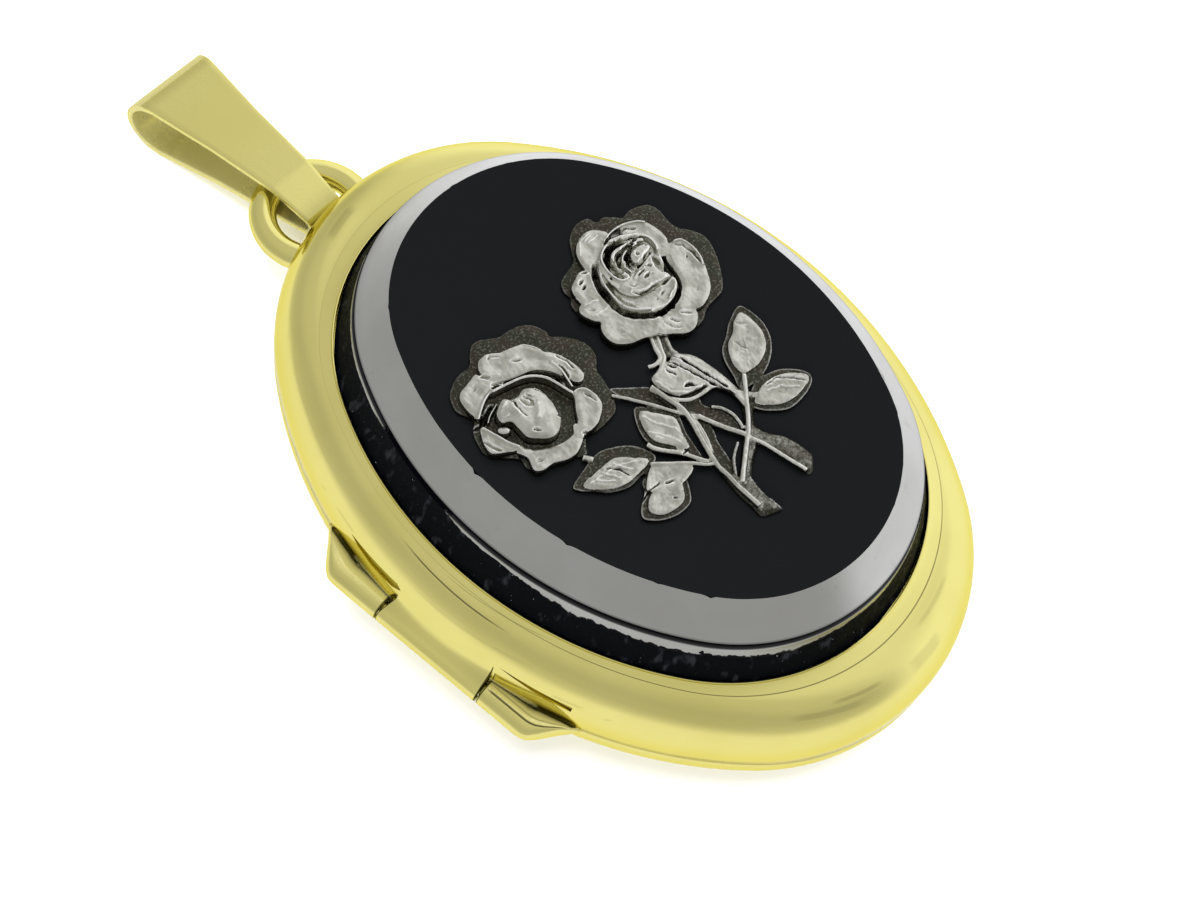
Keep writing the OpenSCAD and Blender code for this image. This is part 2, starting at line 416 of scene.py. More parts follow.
class Shade:
    """A value in a material, so that shader maths can be written as sums."""

    def __init__(self, finish, socket):
        self.finish = finish
        self.socket = socket

    def math(self, operation, *values):
        """A Math node on one value or two."""
        return self.finish.node("ShaderNodeMath", {"operation": operation}, dict(enumerate(values)))

    def __abs__(self):
        return self.math("ABSOLUTE", self)

    def __add__(self, other):
        return self.math("ADD", self, other)

    def __sub__(self, other):
        return self.math("SUBTRACT", self, other)

    def __rsub__(self, other):
        return self.math("SUBTRACT", other, self)

    def __mul__(self, other):
        return self.math("MULTIPLY", self, other)

    __radd__ = __add__
    __rmul__ = __mul__


class Finish:
    """A node material, or the world's shader, under construction."""

    def __init__(self, name, world=False):
        self.owner = (bpy.data.worlds if world else bpy.data.materials).new(name)
        self.owner.use_nodes = True
        self.tree = self.owner.node_tree
        self.shader = self.tree.nodes["Background" if world else "Principled BSDF"]
        self.place = self.node("ShaderNodeTexCoord", out="Generated" if world else "Object")

    def node(self, kind, settings=None, inputs=None, out=0):
        """Adds a node, sets it, fills its sockets and gives one of its outputs."""
        made = self.tree.nodes.new(kind)
        for key, value in (settings or {}).items():
            if key == "stops":
                ramp = made.color_ramp
                while len(ramp.elements) < len(value):
                    ramp.elements.new(0.5)
                for element, (position, tone) in zip(ramp.elements, value):
                    element.position = position
                    element.color = (tone, tone, tone, 1)
            else:
                setattr(made, key, value)
        self.fill(made, inputs or {})
        return Shade(self, made.outputs[out])

    def fill(self, made, inputs):
        """Links or sets the sockets of a node."""
        for key, value in inputs.items():
            if isinstance(value, Shade):
                self.tree.links.new(value.socket, made.inputs[key])
            elif value is not None:
                made.inputs[key].default_value = value

    def vector(self, operation, a, b, out="Value"):
        """A Vector Math node on two vectors."""
        return self.node("ShaderNodeVectorMath", {"operation": operation}, {0: a, 1: b}, out)

    def noise(self, size, detail=2.0, stretch=None, roughness=0.5):
        """Soft noise from 0 to 1, whose patches are about size millimetres."""
        where = self.place
        if stretch:
            where = self.node("ShaderNodeMapping", {}, {"Vector": where, "Scale": stretch})
        return self.node(
            "ShaderNodeTexNoise",
            {},
            {"Vector": where, "Scale": 1 / (size * MM), "Detail": detail, "Roughness": roughness},
        )

    def ramp(self, value, low, high, start=0.0, end=1.0):
        """Maps a value from low to high smoothly on to start to end."""
        return self.node(
            "ShaderNodeMapRange",
            {"interpolation_type": "SMOOTHSTEP"},
            {"Value": value, "From Min": low, "From Max": high, "To Min": start, "To Max": end},
        )

    def value(self, name):
        """A number stored on the mesh's vertices."""
        return self.node("ShaderNodeAttribute", {"attribute_name": name}, out="Fac")

    def mix(self, share, a, b):
        """A colour between a and b."""
        a, b = ((*shade, 1) if isinstance(shade, tuple) else shade for shade in (a, b))
        return self.node("ShaderNodeMix", {"data_type": "RGBA"}, {0: share, 6: a, 7: b}, out=2)

    def bump(self, height, depth, normal=None):
        """A bump of a height from 0 to 1, as deep as depth millimetres."""
        sockets = {"Height": height, "Distance": depth * MM, "Strength": 1.0, "Normal": normal}
        return self.node("ShaderNodeBump", {}, sockets, "Normal")

    def scratch(self, centre, radius, middle, reach, width):
        """A fine line on an arc about an upright axis, fading out a reach from its middle."""
        flat = self.vector("MULTIPLY", self.place, (1.0, 1.0, 0.0), "Vector")
        spots = [(x * MM, y * MM, 0.0) for x, y in (centre, middle)]
        away, along = [self.vector("DISTANCE", flat, spot) for spot in spots]
        ends = self.ramp(along, reach * 0.5 * MM, reach * MM, 1.0, 0.0)
        return self.ramp(abs(away - radius * MM), width * 0.4 * MM, width * MM, 1.0, 0.0) * ends

    def done(self, **inputs):
        """Fills the shader's sockets, whose names are written with _ for a space."""
        self.fill(self.shader, {key.replace("_", " "): value for key, value in inputs.items()})
        return self.owner


def chosen(name):
    """A colour from the user's settings."""
    return tuple(getattr(bpy.context.scene.locket_colours, name))


def gold_finish(name, low_gloss, high_gloss, stipple, marks=()):
    """Polished gold with faint smears, fine wiping marks, an olive tone in patches, dark scratches, and
    painted shade in creases, slots, notches and gaps.
    """
    f = Finish(name)
    smear = f.noise(5.0, 3.0)
    wipe = f.noise(0.35, 3.0, (1.0, 0.22, 1.0))
    fine = f.noise(0.09)
    inner = f.value("inner")
    dark = chosen("gold_shade_and_lines")
    base = f.mix(f.ramp(smear, 0.35, 0.7) * 0.5, chosen("gold"), chosen("gold_deep"))
    # Painted shade: a darker gold, made less metallic below, in notches, in the bail's fold and on the
    # knuckles' sides towards the case
    base = f.mix(inner, base, chosen("gold_inside_shade"))
    # Painted shade in creases, slots, notches and the gaps between knuckles, and dark seam lines on the
    # lower knuckle
    base = f.mix(f.ramp(f.value("crease"), 0.0, 1.0), base, dark)
    for *line, strength in marks:
        base = f.mix(f.scratch(*line) * strength, base, dark)
    gloss = f.ramp(smear * 0.6 + wipe * 0.4, 0.35, 0.65, low_gloss, high_gloss)
    return f.done(
        Base_Color=base,
        Metallic=1 - inner * 0.4,
        Roughness=gloss,
        Normal=f.bump(fine * 0.5 + wipe * 0.5, stipple),
        Specular_Tint=(0.9, 0.84, 0.42, 1),
    )


def stone_finish():
    """Black stone: a fine matte polish on the table and a coarse ground side with painted glints."""
    f = Finish("onyx")
    ground = f.value("ground")
    glint_speck = f.noise(0.16, 3.0, roughness=0.7)
    haze = f.noise(2.5, 4.0)
    chatter = f.noise(0.5, 2.0, (1.0, 1.0, 0.3))
    base = f.mix(ground, chosen("stone"), (0.0012, 0.0015, 0.002))
    base = f.mix(f.ramp(chatter, 0.56, 0.74) * ground * 0.03, base, (0.30, 0.31, 0.36))
    # Painted glints: light specks on the ground side
    base = f.mix(f.ramp(glint_speck, 0.70, 0.78) * ground * 0.5, base, (0.42, 0.43, 0.46))
    gloss = f.ramp(haze, 0.3, 0.7, 0.36, 0.44) + ground * f.ramp(glint_speck, 0.3, 0.7, -0.1, 0.2)
    coarse = f.bump((glint_speck * 0.6 + chatter * 0.4) * ground, 0.018)
    normal = f.bump(f.noise(0.07), 0.0006, coarse)
    return f.done(Base_Color=base, Roughness=gloss, Normal=normal, Specular_IOR_Level=0.012)


def silver_finish():
    """Bright metal on the bevel, hazy in patches, with painted shade and patina in its groove, and worn at
    the edges.
    """
    f = Finish("bevel_silver")
    groove = f.value("groove")
    haze = f.noise(3.0, 3.0)
    fine = f.noise(0.12, 3.0)
    streak = f.noise(0.5, 4.0, (0.5, 0.5, 1.0))
    stain = f.ramp(f.noise(0.9, 5.0), 0.62, 0.78)
    base = f.mix(f.ramp(haze, 0.3, 0.75, 0.0, 0.5), chosen("silver"), (0.45, 0.445, 0.41))
    base = f.mix(stain * 0.3, base, (0.30, 0.28, 0.23))
    worn = f.ramp(f.value("worn") + (f.noise(0.3, 4.0) - 0.5) * 1.1, 0.62, 0.78)
    # Painted shade with patina in the groove, joined with the worn places
    dark = groove + worn - groove * worn
    base = f.mix(dark, base, (0.004, 0.004, 0.007))
    gloss = f.ramp(haze * 0.5 + streak * 0.5, 0.3, 0.7, 0.10, 0.24) + dark * 0.3
    normal = f.bump(fine * 0.4 + streak * 0.6, 0.0012)
    return f.done(Base_Color=base, Metallic=1.0, Roughness=gloss, Normal=normal)


def cast_finish():
    """Cast silver: bright where it is worn, with a painted highlight on its raised edges, dark and grainy in
    the low places, with painted glints there.
    """
    f = Finish("cast_silver")
    edge = f.value("edge")
    grain = f.noise(0.14, 4.0, roughness=0.65)
    fine = f.noise(0.05, 3.0)
    cloud = f.noise(0.8, 4.0)
    light = f.mix(f.ramp(cloud, 0.38, 0.62), chosen("cast_silver"), (0.44, 0.435, 0.38))
    # Raised edges are brighter: partly real wear, partly a painted highlight
    light = f.mix(edge, light, (0.93, 0.92, 0.88))
    olive = f.mix(f.ramp(cloud, 0.42, 0.58), (0.019, 0.023, 0.010), (0.037, 0.029, 0.019))
    low = f.value("tarnish") + (grain - 0.5) * 0.7 + (fine - 0.5) * 0.4
    tarnish = f.ramp(low, 0.25, 0.8) * (1.0 - edge * 0.65)
    # Painted glints in the tarnished places
    glint = f.ramp(f.noise(0.1), 0.54, 0.66) * tarnish * 0.16
    base = f.mix(tarnish * 0.95, light, olive)
    base = f.mix(glint, base, chosen("cast_silver"))
    gloss = f.ramp(grain, 0.3, 0.7, 0.2, 0.34) + tarnish * 0.12
    normal = f.bump((grain * 0.6 + fine * 0.4) * (tarnish * 1.2 + 0.6), 0.009)
    return f.done(Base_Color=base, Metallic=1.0, Roughness=gloss, Normal=normal)


def floor_finish():
    """A pale matte floor with a faint change of tone."""
    f = Finish("pale_floor")
    base = f.mix(f.noise(60.0) * 0.3, chosen("floor"), (0.84, 0.845, 0.85))
    return f.done(Base_Color=base, Roughness=0.75, Specular_IOR_Level=0.1)


def studio_light():
    """Soft light whose tone depends on its height: brightest from below, and brighter from the far side."""
    f = Finish("studio", world=True)
    up = f.node("ShaderNodeSeparateXYZ", {}, {0: f.place}, "Z")
    stops = ((0.0, 1.0), (0.31, 0.97), (0.40, 0.64), (0.5, 0.55), (0.68, 0.52), (0.85, 0.58), (1.0, 0.64))
    tone = f.node("ShaderNodeValToRGB", {"stops": stops}, {0: (up + 1.0) * 0.5})
    far = f.vector("DOT_PRODUCT", f.place, (0.98, -0.2, 0.0))
    return f.done(Color=f.mix(f.ramp(far, 0.22, 0.6), tone, (1.05, 1.06, 1.08)))


def polished_gold():
    """The gold of the case and its pin."""
    return bpy.data.materials.get("polished_gold") or gold_finish("polished_gold", *POLISHED)


def lid_gold():
    """The lid's gold, with the fine scratches along its shoulder."""
    marks = (
        ((4.1, -0.2), 15.6, (-11.45, 0.4), 3.2, 0.035, 0.8),
        ((3.2, 0.4), 14.35, (-11.1, -1.6), 3.0, 0.03, 0.3),
        ((4.6, 0.2), 16.75, (-12.1, -1.2), 3.4, 0.05, 0.1),
        ((0.0, -6.97), 8.82, (-3.83, -14.92), 1.4, 0.10, 0.24),
        ((0.3, -6.6), 9.6, (-5.22, -14.61), 2.0, 0.14, 0.18),
        ((0.0, -6.97), 9.09, (-0.33, -16.05), 1.2, 0.3, 0.16),
        ((0.4, -6.9), 8.2, (1.6, -15.0), 1.6, 0.12, 0.16),
        ((0.0, 6.97), 8.42, (-1.56, 15.21), 1.15, 0.26, 0.22),
    )
    return gold_finish("lid_gold", *POLISHED, marks)


def cast_silver():
    """The silver of the roses and the sprig."""
    return bpy.data.materials.get("cast_silver") or cast_finish()


# Case


def side_at(y):
    """X of the case's side near the hinge."""
    return SIDE_X + y**2 / SIDE_BOW


def bore(piece, y0, y1):
    """Cuts the pin's hole through a knuckle and rounds the knuckle's edges."""
    cut(piece, rod(HOLE_R, y0, y1, 32))
    round_edges(piece, 0.03, 2)


def knuckle(side):
    """An outer knuckle: a tube that follows the case's side and runs out into it at its far end."""
    start = (KNUCKLE_HIGH if side > 0 else -KNUCKLE_LOW) + KNUCKLE_GAP
    ring = arc(HINGE_X, SEAM_Z, KNUCKLE_R, 0, 360, 72)[:-1]
    piece = trace("knuckle", [point(x, start, z) for x, z in ring], True)
    steps = (0.07, *[(KNUCKLE_END - start) / 30] * 30)
    draw_out(piece, *[point(0, step, 0) for step in steps])
    face_out(piece)
    bore(piece, 2, 5)
    co = vertices_of(piece)
    angle = np.degrees(np.arctan2(co[:, 2] - SEAM_Z, co[:, 0] - HINGE_X))
    along = co[:, 1].copy()
    upper = co[:, 2] > SEAM_Z

    # The far end narrows and bends in along the case's side
    stations = [5.0, 5.25, 5.45, 5.75, 6.1, 6.4, 6.83, 7.15]
    left = -13.3 + np.interp(along, stations, [0, 0.03, 0.1, 0.38, 0.84, 1.26, 1.8, 2.1])
    right = np.maximum(-12.0, side_at(along) - 0.05) + np.where(upper, 0, 0.25) + ease(along, 6.6, 7.1) * 0.7
    bent = ease(along, 4.6, 5.3)
    half = np.maximum(right - left, 0.04) / 2
    x = left + half + (co[:, 0] - HINGE_X) / KNUCKLE_R * half
    co[:, 0] += (x - co[:, 0]) * bent

    # Its flank towards the case stands nearly flat, and it sinks towards its end
    flat = KNUCKLE_R * np.sin(np.radians(np.clip(angle, 0, 90))) ** 0.3
    flank = (angle > 0) & (angle < 90)
    co[flank, 2] += ((SEAM_Z + flat - co[:, 2]) * bent)[flank]
    tall = np.interp(along, [5.0, 5.6, 6.2, 6.85], [1, 0.95, 0.75, 0.1])
    co[upper, 2] = SEAM_Z + (co[upper, 2] - SEAM_Z) * tall[upper] - 0.06 * ease(along, 6.4, 6.9)[upper]
    set_vertices(piece, co)

    # Painted shade where it meets the case and on its end face, with two fine dark seams along the lower one
    shade = ease(-angle, -88, -20) * (np.abs(angle) < 115) * 0.5
    shade = np.maximum(shade, (0.6 if side > 0 else 0.9) * (along < start + 0.05))
    if side < 0:
        reach = ease(along, 2.8, 3.3) * ease(-along, -6.7, -6.2)
        for seam, strength in ((99, 1.0), (74, 0.55)):
            line = np.clip(1.5 - np.abs(angle - seam) / 4.0, 0, 1) * reach
            shade = np.maximum(shade, strength * line)
        with editing(piece):
            bpy.ops.transform.resize(value=(1, -1, 1), center_override=(0, 0, 0))
    write_values(piece, "crease", np.clip(shade, 0, 1))
    # Painted shade: a darker, duller gold on its side towards the case
    write_values(piece, "inner", ease(-np.abs(angle), -115, -70))
    face_out(piece)
    return piece


def wire_loop(reach, wire):
    """The soldered loop: a wire spun round from one end in the case to the other."""
    start, turn = math.radians(-39), math.radians(258)
    bpy.ops.object.select_all(action="DESELECT")
    bpy.ops.mesh.primitive_circle_add(
        vertices=40,
        radius=wire,
        location=Vector((reach * math.cos(start), LOOP_Y * MM + reach * math.sin(start), LOOP_Z * MM)),
        rotation=(math.pi / 2, 0, start),
    )
    loop = bpy.context.object
    bpy.ops.object.transform_apply(location=True, rotation=True, scale=True)
    with editing(loop):
        centre = point(0, LOOP_Y, LOOP_Z)
        bpy.ops.mesh.spin(steps=96, angle=-turn, center=centre, axis=(0, 0, 1))
        pick(loop, "edges", lambda e: e.is_boundary)
        bpy.ops.mesh.edge_face_add()
    face_out(loop)
    return loop


class LOCKET_OT_back(bpy.types.Operator):
    """Build the back of the case with its lip, its two knuckles and the loop"""

    bl_idname = "locket.back"
    bl_label = "Add Back"

    def execute(self, context):
        sizes = context.scene.locket_sizes
        inside_z = 0.7
        side = arc(-2.2, 2.55, 2.2, 0, -80, 18)
        outline = [
            (-2.4, inside_z), (-1.25, 1.65), (-1.25, 3.5), (-1.2, 3.55), (-1.03, 3.55), (-0.95, 3.47),
            (-0.95, 3.0), (-0.9, 2.95), (-0.1, 2.95), (-0.03, 2.92), (0, 2.85), *side, (-4.0, 0.0),
        ]
        shell = sweep("back_shell", CASE_OVAL, sizes.case_length, outline)
        close_hole(shell, inside_z)
        close_hole(shell, 0.0, 1.5)
        face_out(shell)
        cut(shell, rod(NOTCH_R, KNUCKLE_LOW - KNUCKLE_GAP, KNUCKLE_HIGH + KNUCKLE_GAP))
        loop = wire_loop(sizes.loop_radius, sizes.wire_radius)
        # The shell and the loop get no painted shade
        for part in (shell, loop):
            for name in ("crease", "inner"):
                write_values(part, name, np.zeros(len(part.data.vertices)))
        piece = join("back_shell", [shell, loop, knuckle(1), knuckle(-1)])
        soften(piece)
        place(piece, "case", "gold", polished_gold(), "back_case")
        coat(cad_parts["hinge_pin"], polished_gold())
        return {"FINISHED"}


def ledge(stone_length):
    """The ledge round the stone, whose outer rings are narrowed a little across the locket."""
    outline = [
        (1.65, LEDGE_Z), (1.6, CREASE_Z), (1.55, 6.667), (1.4, 6.674), (1.2, 6.684), (1.0, 6.7),
        (0.955, 6.71), (0.935, 6.775), (0.9, 6.8), (0.865, 6.795), (0.85, 6.77), (0.85, SEAT_Z),
    ]
    piece = sweep("ledge", STONE_OVAL, stone_length, outline)
    co = vertices_of(piece)
    for height, share in ((6.6645, 1.0), (6.667, 0.9), (6.674, 0.7), (6.684, 0.4)):
        ring = np.abs(co[:, 2] - height) < 0.0012
        co[ring, 0] *= 1 - 0.034 * share
    set_vertices(piece, co)
    return piece


def raise_shoulder(piece, low_z, high_z):
    """Bridges the open edges at two heights with a surface that swells where the gap is wide."""
    made = len(piece.data.vertices)
    with editing(piece, "EDGE"):
        low, high = open_edge(low_z), open_edge(high_z)
        pick(piece, "edges", lambda e: low(e) or high(e))
        bpy.ops.mesh.bridge_edge_loops(number_cuts=15, interpolation="LINEAR")
    co = vertices_of(piece)
    run = 0
    for z in (low_z, high_z):
        rim = co[:made][np.abs(co[:made, 2] - z) < 0.0005, :2]
        run = run + np.linalg.norm(co[made:, None, :2] - rim[None], axis=2).min(1)
    u = (co[made:, 2] - low_z) / (high_z - low_z)
    rise = run * 1.73 * u * (1 - u) ** 2
    co[made:, 2] = low_z + (high_z - low_z) * u**2 * (3 - 2 * u) + rise
    set_vertices(piece, co)


def cut_slot(piece, outline):
    """Cuts a shallow slot into the lid's side."""
    slot = trace("slot", [point(-13.4, y, z) for y, z in outline], True)
    draw_out(slot, point(0.6, 0, 0))
    co = vertices_of(slot)
    deep = co[:, 0] > -13.0
    co[deep, 0] = side_at(co[deep, 1]) + SLOT_DEPTH
    set_vertices(slot, co)
    face_out(slot)
    cut(piece, slot)


def shade_lid(piece):
    """Stores the lid's painted shade: along the shoulder's crease, stronger on one side, in the slots and in
    the notches, which also get the darker inside gold.
    """
    co = vertices_of(piece)
    around = np.arctan2(co[:, 1] + 3, co[:, 0] + 2)
    # Painted shade along the crease, stronger on one side of the lid
    crease = (np.abs(co[:, 2] - CREASE_Z) < 2e-5) * (0.25 + 0.55 * np.clip(np.cos(around + 2.0) + 0.3, 0, 1))
    beside = (np.abs(co[:, 1]) < 8) & (co[:, 0] < -10)
    inward = co[:, 0] - side_at(co[:, 1])
    in_slot = beside & (np.abs(inward - SLOT_DEPTH) < 0.01) & (co[:, 2] > 4.3) & (co[:, 2] < 5.11)
    in_notch = beside & (np.hypot(co[:, 0] - HINGE_X, co[:, 2] - SEAM_Z) < NOTCH_R + 0.02)
    # Painted shade in the slots and notches; the notches also take the darker inside gold
    write_values(piece, "crease", np.maximum(crease, in_slot * 0.3 + in_notch * 0.3))
    write_values(piece, "inner", 1.0 * in_notch)


def middle_knuckle():
    """The lid's knuckle: a round back with a ramp up to the lid's side, with painted shade at both ends."""
    ramp = [
        (-12.0, 3.6), (-12.0, 5.0), (-12.33, 5.15), (-12.45, 4.82), (-12.52, 4.58), (-12.61, 4.34),
        (-12.74, 4.1), (-12.88, 3.88), (-13.01, 3.66),
    ]
    ring = arc(HINGE_X, SEAM_Z, KNUCKLE_R, 140, 380, 30)
    piece = trace("knuckle", [point(x, KNUCKLE_LOW + 0.04, z) for x, z in ramp + ring], True)
    steps = (0.07, *[(KNUCKLE_HIGH - KNUCKLE_LOW - 0.18) / 16] * 16, 0.07)
    draw_out(piece, *[point(0, step, 0) for step in steps])
    face_out(piece)
    bore(piece, -4, 4)
    co = vertices_of(piece)
    ends = (co[:, 1] < KNUCKLE_LOW + 0.09) | (co[:, 1] > KNUCKLE_HIGH - 0.05)
    co[:, 0] += co[:, 1] ** 2 / SIDE_BOW * ease(co[:, 2], 3.6, 4.8)
    far = co[:, 1] > KNUCKLE_HIGH - 0.1
    co[far, 1] -= 0.42 * np.clip((co[far, 0] + 13.15) / 0.8, 0, 1)
    set_vertices(piece, co)
    # Painted shade at both ends, in the gaps between the knuckles
    write_values(piece, "crease", ends * 0.9)
    write_values(piece, "inner", ends * 0.0)
    return piece


class LOCKET_OT_lid(bpy.types.Operator):
    """Build the lid with its round shoulder, the ledge round the stone and the middle knuckle"""

    bl_idname = "locket.lid"
    bl_label = "Add Lid"

    def execute(self, context):
        sizes = context.scene.locket_sizes
        inside_z = 5.2
        round_side = arc(-3.9, 3.9, 3.9, 0, 30, 14)
        outline = [
            (-1.2, inside_z), (-0.9, 4.9), (-0.9, 3.1), (-0.85, 3.05), (-0.12, 3.05), (-0.035, 3.085),
            (0, 3.17), *round_side,
        ]
        skin = sweep("lid_shell", CASE_OVAL, sizes.case_length, outline)
        piece = join("lid_shell", [skin, ledge(sizes.stone_length)])
        raise_shoulder(piece, round_side[-1][1], LEDGE_Z)
        close_hole(piece, inside_z)
        close_hole(piece, SEAT_Z)
        face_out(piece)
        for near, far in ((KNUCKLE_HIGH, NOTCH_END), (-NOTCH_END, KNUCKLE_LOW)):
            cut(piece, rod(NOTCH_R, near, far))
        for outline in (SLOT_UPPER, SLOT_LOWER):
            cut_slot(piece, outline)
        shade_lid(piece)
        piece = join("lid_shell", [piece, middle_knuckle()])
        soften(piece)
        place(piece, "lid", "gold", lid_gold(), "lid_frame")
        return {"FINISHED"}


# Stone and band


def bevel_point(along, depth):
    """A point (offset, height) of the bevel's slope, sunk below it by a depth."""
    return (-1.3 * along - depth * 0.745, 8.95 + 1.45 * along - depth * 0.668)


class LOCKET_OT_stone(bpy.types.Operator):
    """Build the black stone with its coarse side"""

    bl_idname = "locket.stone"
    bl_label = "Add Stone"

    def execute(self, context):
        sizes = context.scene.locket_sizes
        foot = 5.72
        side = [(0.8 - 0.66 * i / 14, 6.57 + 1.96 * i / 14) for i in range(15)]
        slope = [bevel_point(*row) for row in ((0, 0.19), (0.5, 0.19), (0.92, 0.19), (0.985, 0.02))]
        outline = [(0.8, foot), *side, (-0.08, 8.53), *slope, (-1.32, TABLE_Z)]
        piece = sweep("stone", STONE_OVAL, sizes.stone_length, outline)
        close_hole(piece, TABLE_Z, 0.2)
        close_hole(piece, foot)
        face_out(piece)
        co = vertices_of(piece)
        ground = np.clip((8.6 - co[:, 2]) / 0.1, 0, 1) * np.clip((co[:, 2] - 6.5) / 0.3, 0, 1)
        lump = np.array([noise.fractal(Vector(p) * 2.6, 0.6, 2.2, 4) for p in co])
        mark = np.array([noise.noise(Vector((p[0] * 3.2, p[1] * 3.2, p[2] * 0.7))) for p in co])
        co += normals_of(piece) * (ground * (0.035 * lump + 0.03 * mark))[:, None]
        set_vertices(piece, co)
        write_values(piece, "ground", np.clip((8.75 - co[:, 2]) / 0.15, 0, 1))
        soften(piece, 40)
        place(piece, "lid", "black_stone", stone_finish(), "stone_tablet")
        return {"FINISHED"}


class LOCKET_OT_band(bpy.types.Operator):
    """Build the silver band on the bevel, with its groove and its chipped edges"""

    bl_idname = "locket.band"
    bl_label = "Add Band"

    def execute(self, context):
        sizes = context.scene.locket_sizes
        slope = [bevel_point(i / 10, 0.0) for i in range(1, 11)]
        below = [bevel_point(*row) for row in ((0.985, 0.15), (0.5, 0.16), (0.04, 0.16))]
        outline = [
            (0.27, 8.05), (0.337, 8.05), (0.252, 8.3), (0.19, 8.48), (0.165, 8.6), (0.13, 8.66), (0.0, 8.7),
            (-0.03, 8.73), (-0.03, 8.85), (0.035, 8.88), (0.04, 8.93), (-0.03, 9.0), *slope, *below,
            (-0.06, 8.6), (0.1, 8.48), (0.187, 8.3),
        ]
        piece = sweep("bevel_sheet", STONE_OVAL, sizes.stone_length, outline, True)
        face_out(piece)
        co = vertices_of(piece)
        height = co[:, 2].copy()
        around = np.degrees(np.arctan2(co[:, 1], co[:, 0]))
        away = co[:, :2] / np.linalg.norm(co[:, :2], axis=1)[:, None]
        turn = [(math.cos(t), math.sin(t)) for t in np.radians(around)]
        ragged = np.array([noise.fractal(Vector((9 * x, 9 * y, 4)), 0.7, 2.1, 4) for x, y in turn])
        chips = np.array([noise.noise(Vector((14 * x, 14 * y, 9))) for x, y in turn])
        around %= 360

        # Chips along the table's edge
        at_table = height > TABLE_Z - 0.04
        chip = np.clip(chips - 0.42, 0, 1) * 0.5 + 0.006 * np.abs(ragged)
        co[at_table, :2] += away[at_table] * chip[at_table, None]
        co[at_table, 2] -= chip[at_table] * 1.1

        # How far the sheet hangs down over the girdle, from 0 to 1, at angles round the stone
        cover = np.interp(
            around,
            [0, 100, 112, 138, 146, 166, 172, 190, 199, 225, 240, 252, 265, 283, 300],
            [0, 0, 0.25, 0.3, 0.05, 0.05, 0.3, 0.35, 0.85, 1.0, 0.9, 0.6, 0.45, 0.2, 0.05],
        )
        cover = np.clip(cover * (1 + 0.35 * ragged), 0.05, 1)
        hanging = height < 8.6
        drop = (8.6 - height) * (1 - cover)
        co[hanging, 2] += drop[hanging]
        co[hanging, :2] -= away[hanging] * (drop * 0.337)[hanging, None]
        set_vertices(piece, co)

        # Painted shade, with patina, in the groove and faintly on the lip below it
        write_values(piece, "groove", np.clip(2.3 - np.abs(height - 8.78) / 0.085, 0.22 * (height < 8.7), 1))
        lost = np.interp(around, [100, 112, 138, 146, 166, 172, 265, 290], [1, 0, 0.1, 1, 1, 0, 0, 1])
        write_values(piece, "worn", np.clip((8.5 - height) / 0.45, 0, 1) + lost * (height < 8.71))
        soften(piece, 50)
        place(piece, "lid", "silver_band", silver_finish(), "bevel_band")
        return {"FINISHED"}


# Spray


def layer(points, z, level):
    """Outline points at a height, slid along the line on which they were drawn."""
    slide = LEAN * (level - z)
    return [Vector((x + slide.x, y + slide.y, z)) * MM for x, y in points]


def petal(points, z, steps, level=ROSE_LEVEL):
    """A solid petal: a smooth outline at a height, a wall down to the table, and a top shaped by insets."""
    piece = trace("petal", smooth_path(layer(points, z, level), 4, True), True)
    draw_out(piece, point(0, 0, TABLE_Z - z))
    face_out(piece)
    with editing(piece, "FACE"):
        pick(piece, "faces", lambda f: f.normal.z > 0.9)
        for width, rise in steps:
            bpy.ops.mesh.inset(thickness=width * MM, depth=rise * MM, use_even_offset=False)
    return piece


def curl(points, z, thickness, depth):
    """A thin upright lip along a path."""
    piece = trace("curl", smooth_path(layer(points, z, ROSE_LEVEL)))
    with editing(piece):
        extrude(point(0, 0, -depth))
    modify(piece, "SOLIDIFY", thickness=thickness * MM, offset=0.0)
    face_out(piece)
    return piece


def stem(points, z, radius):
    """A round stem along a path."""
    only(trace("stem", smooth_path(layer(points, z, SPRIG_LEVEL))))
    bpy.ops.object.convert(target="CURVE")
    line = bpy.context.object.data
    line.bevel_depth = radius * MM
    line.bevel_resolution = 4
    line.use_fill_caps = True
    bpy.ops.object.convert(target="MESH")
    piece = bpy.context.object
    with editing(piece):
        bpy.ops.mesh.remove_doubles(threshold=1e-7)
    face_out(piece)
    return piece


def press(co, warped, path, width, depth, level, z):
    """Raises or sinks the surface along a path, most in its middle and less towards its ends."""
    slide = LEAN * (level - z)
    flat = [(x + slide.x, y + slide.y) for x, y in path]
    if len(flat) == 1:
        near = np.linalg.norm(warped - np.array(flat[0]), axis=1)
        thick = 1.0
    else:
        near, to_end = distance_to_path(warped, flat)
        thick = np.clip(0.35 + to_end / (2.2 * width), 0, 1)
    share = np.clip(1 - (near / (width * thick)) ** 2, 0, 1) ** 1.5
    lift = share * depth * np.clip((co[:, 2] - TABLE_Z - 0.05) / 0.1, 0, 1)
    co[:, 2] = np.maximum(co[:, 2] + lift, np.minimum(co[:, 2], TABLE_Z + 0.06))


def blurred(piece, co, rounds):
    """Each vertex's place averaged with its neighbours', round after round."""
    edges = np.empty(len(piece.data.edges) * 2, np.int64)
    piece.data.edges.foreach_get("vertices", edges)
    a, b = edges.reshape(-1, 2).T
    count = len(co)
    shares = np.bincount(a, minlength=count) + np.bincount(b, minlength=count) + 1
    for _ in range(rounds):
        total = co.copy()
        for k in range(3):
            total[:, k] += np.bincount(a, co[b, k], count) + np.bincount(b, co[a, k], count)
        co = total / shares[:, None]
    return co


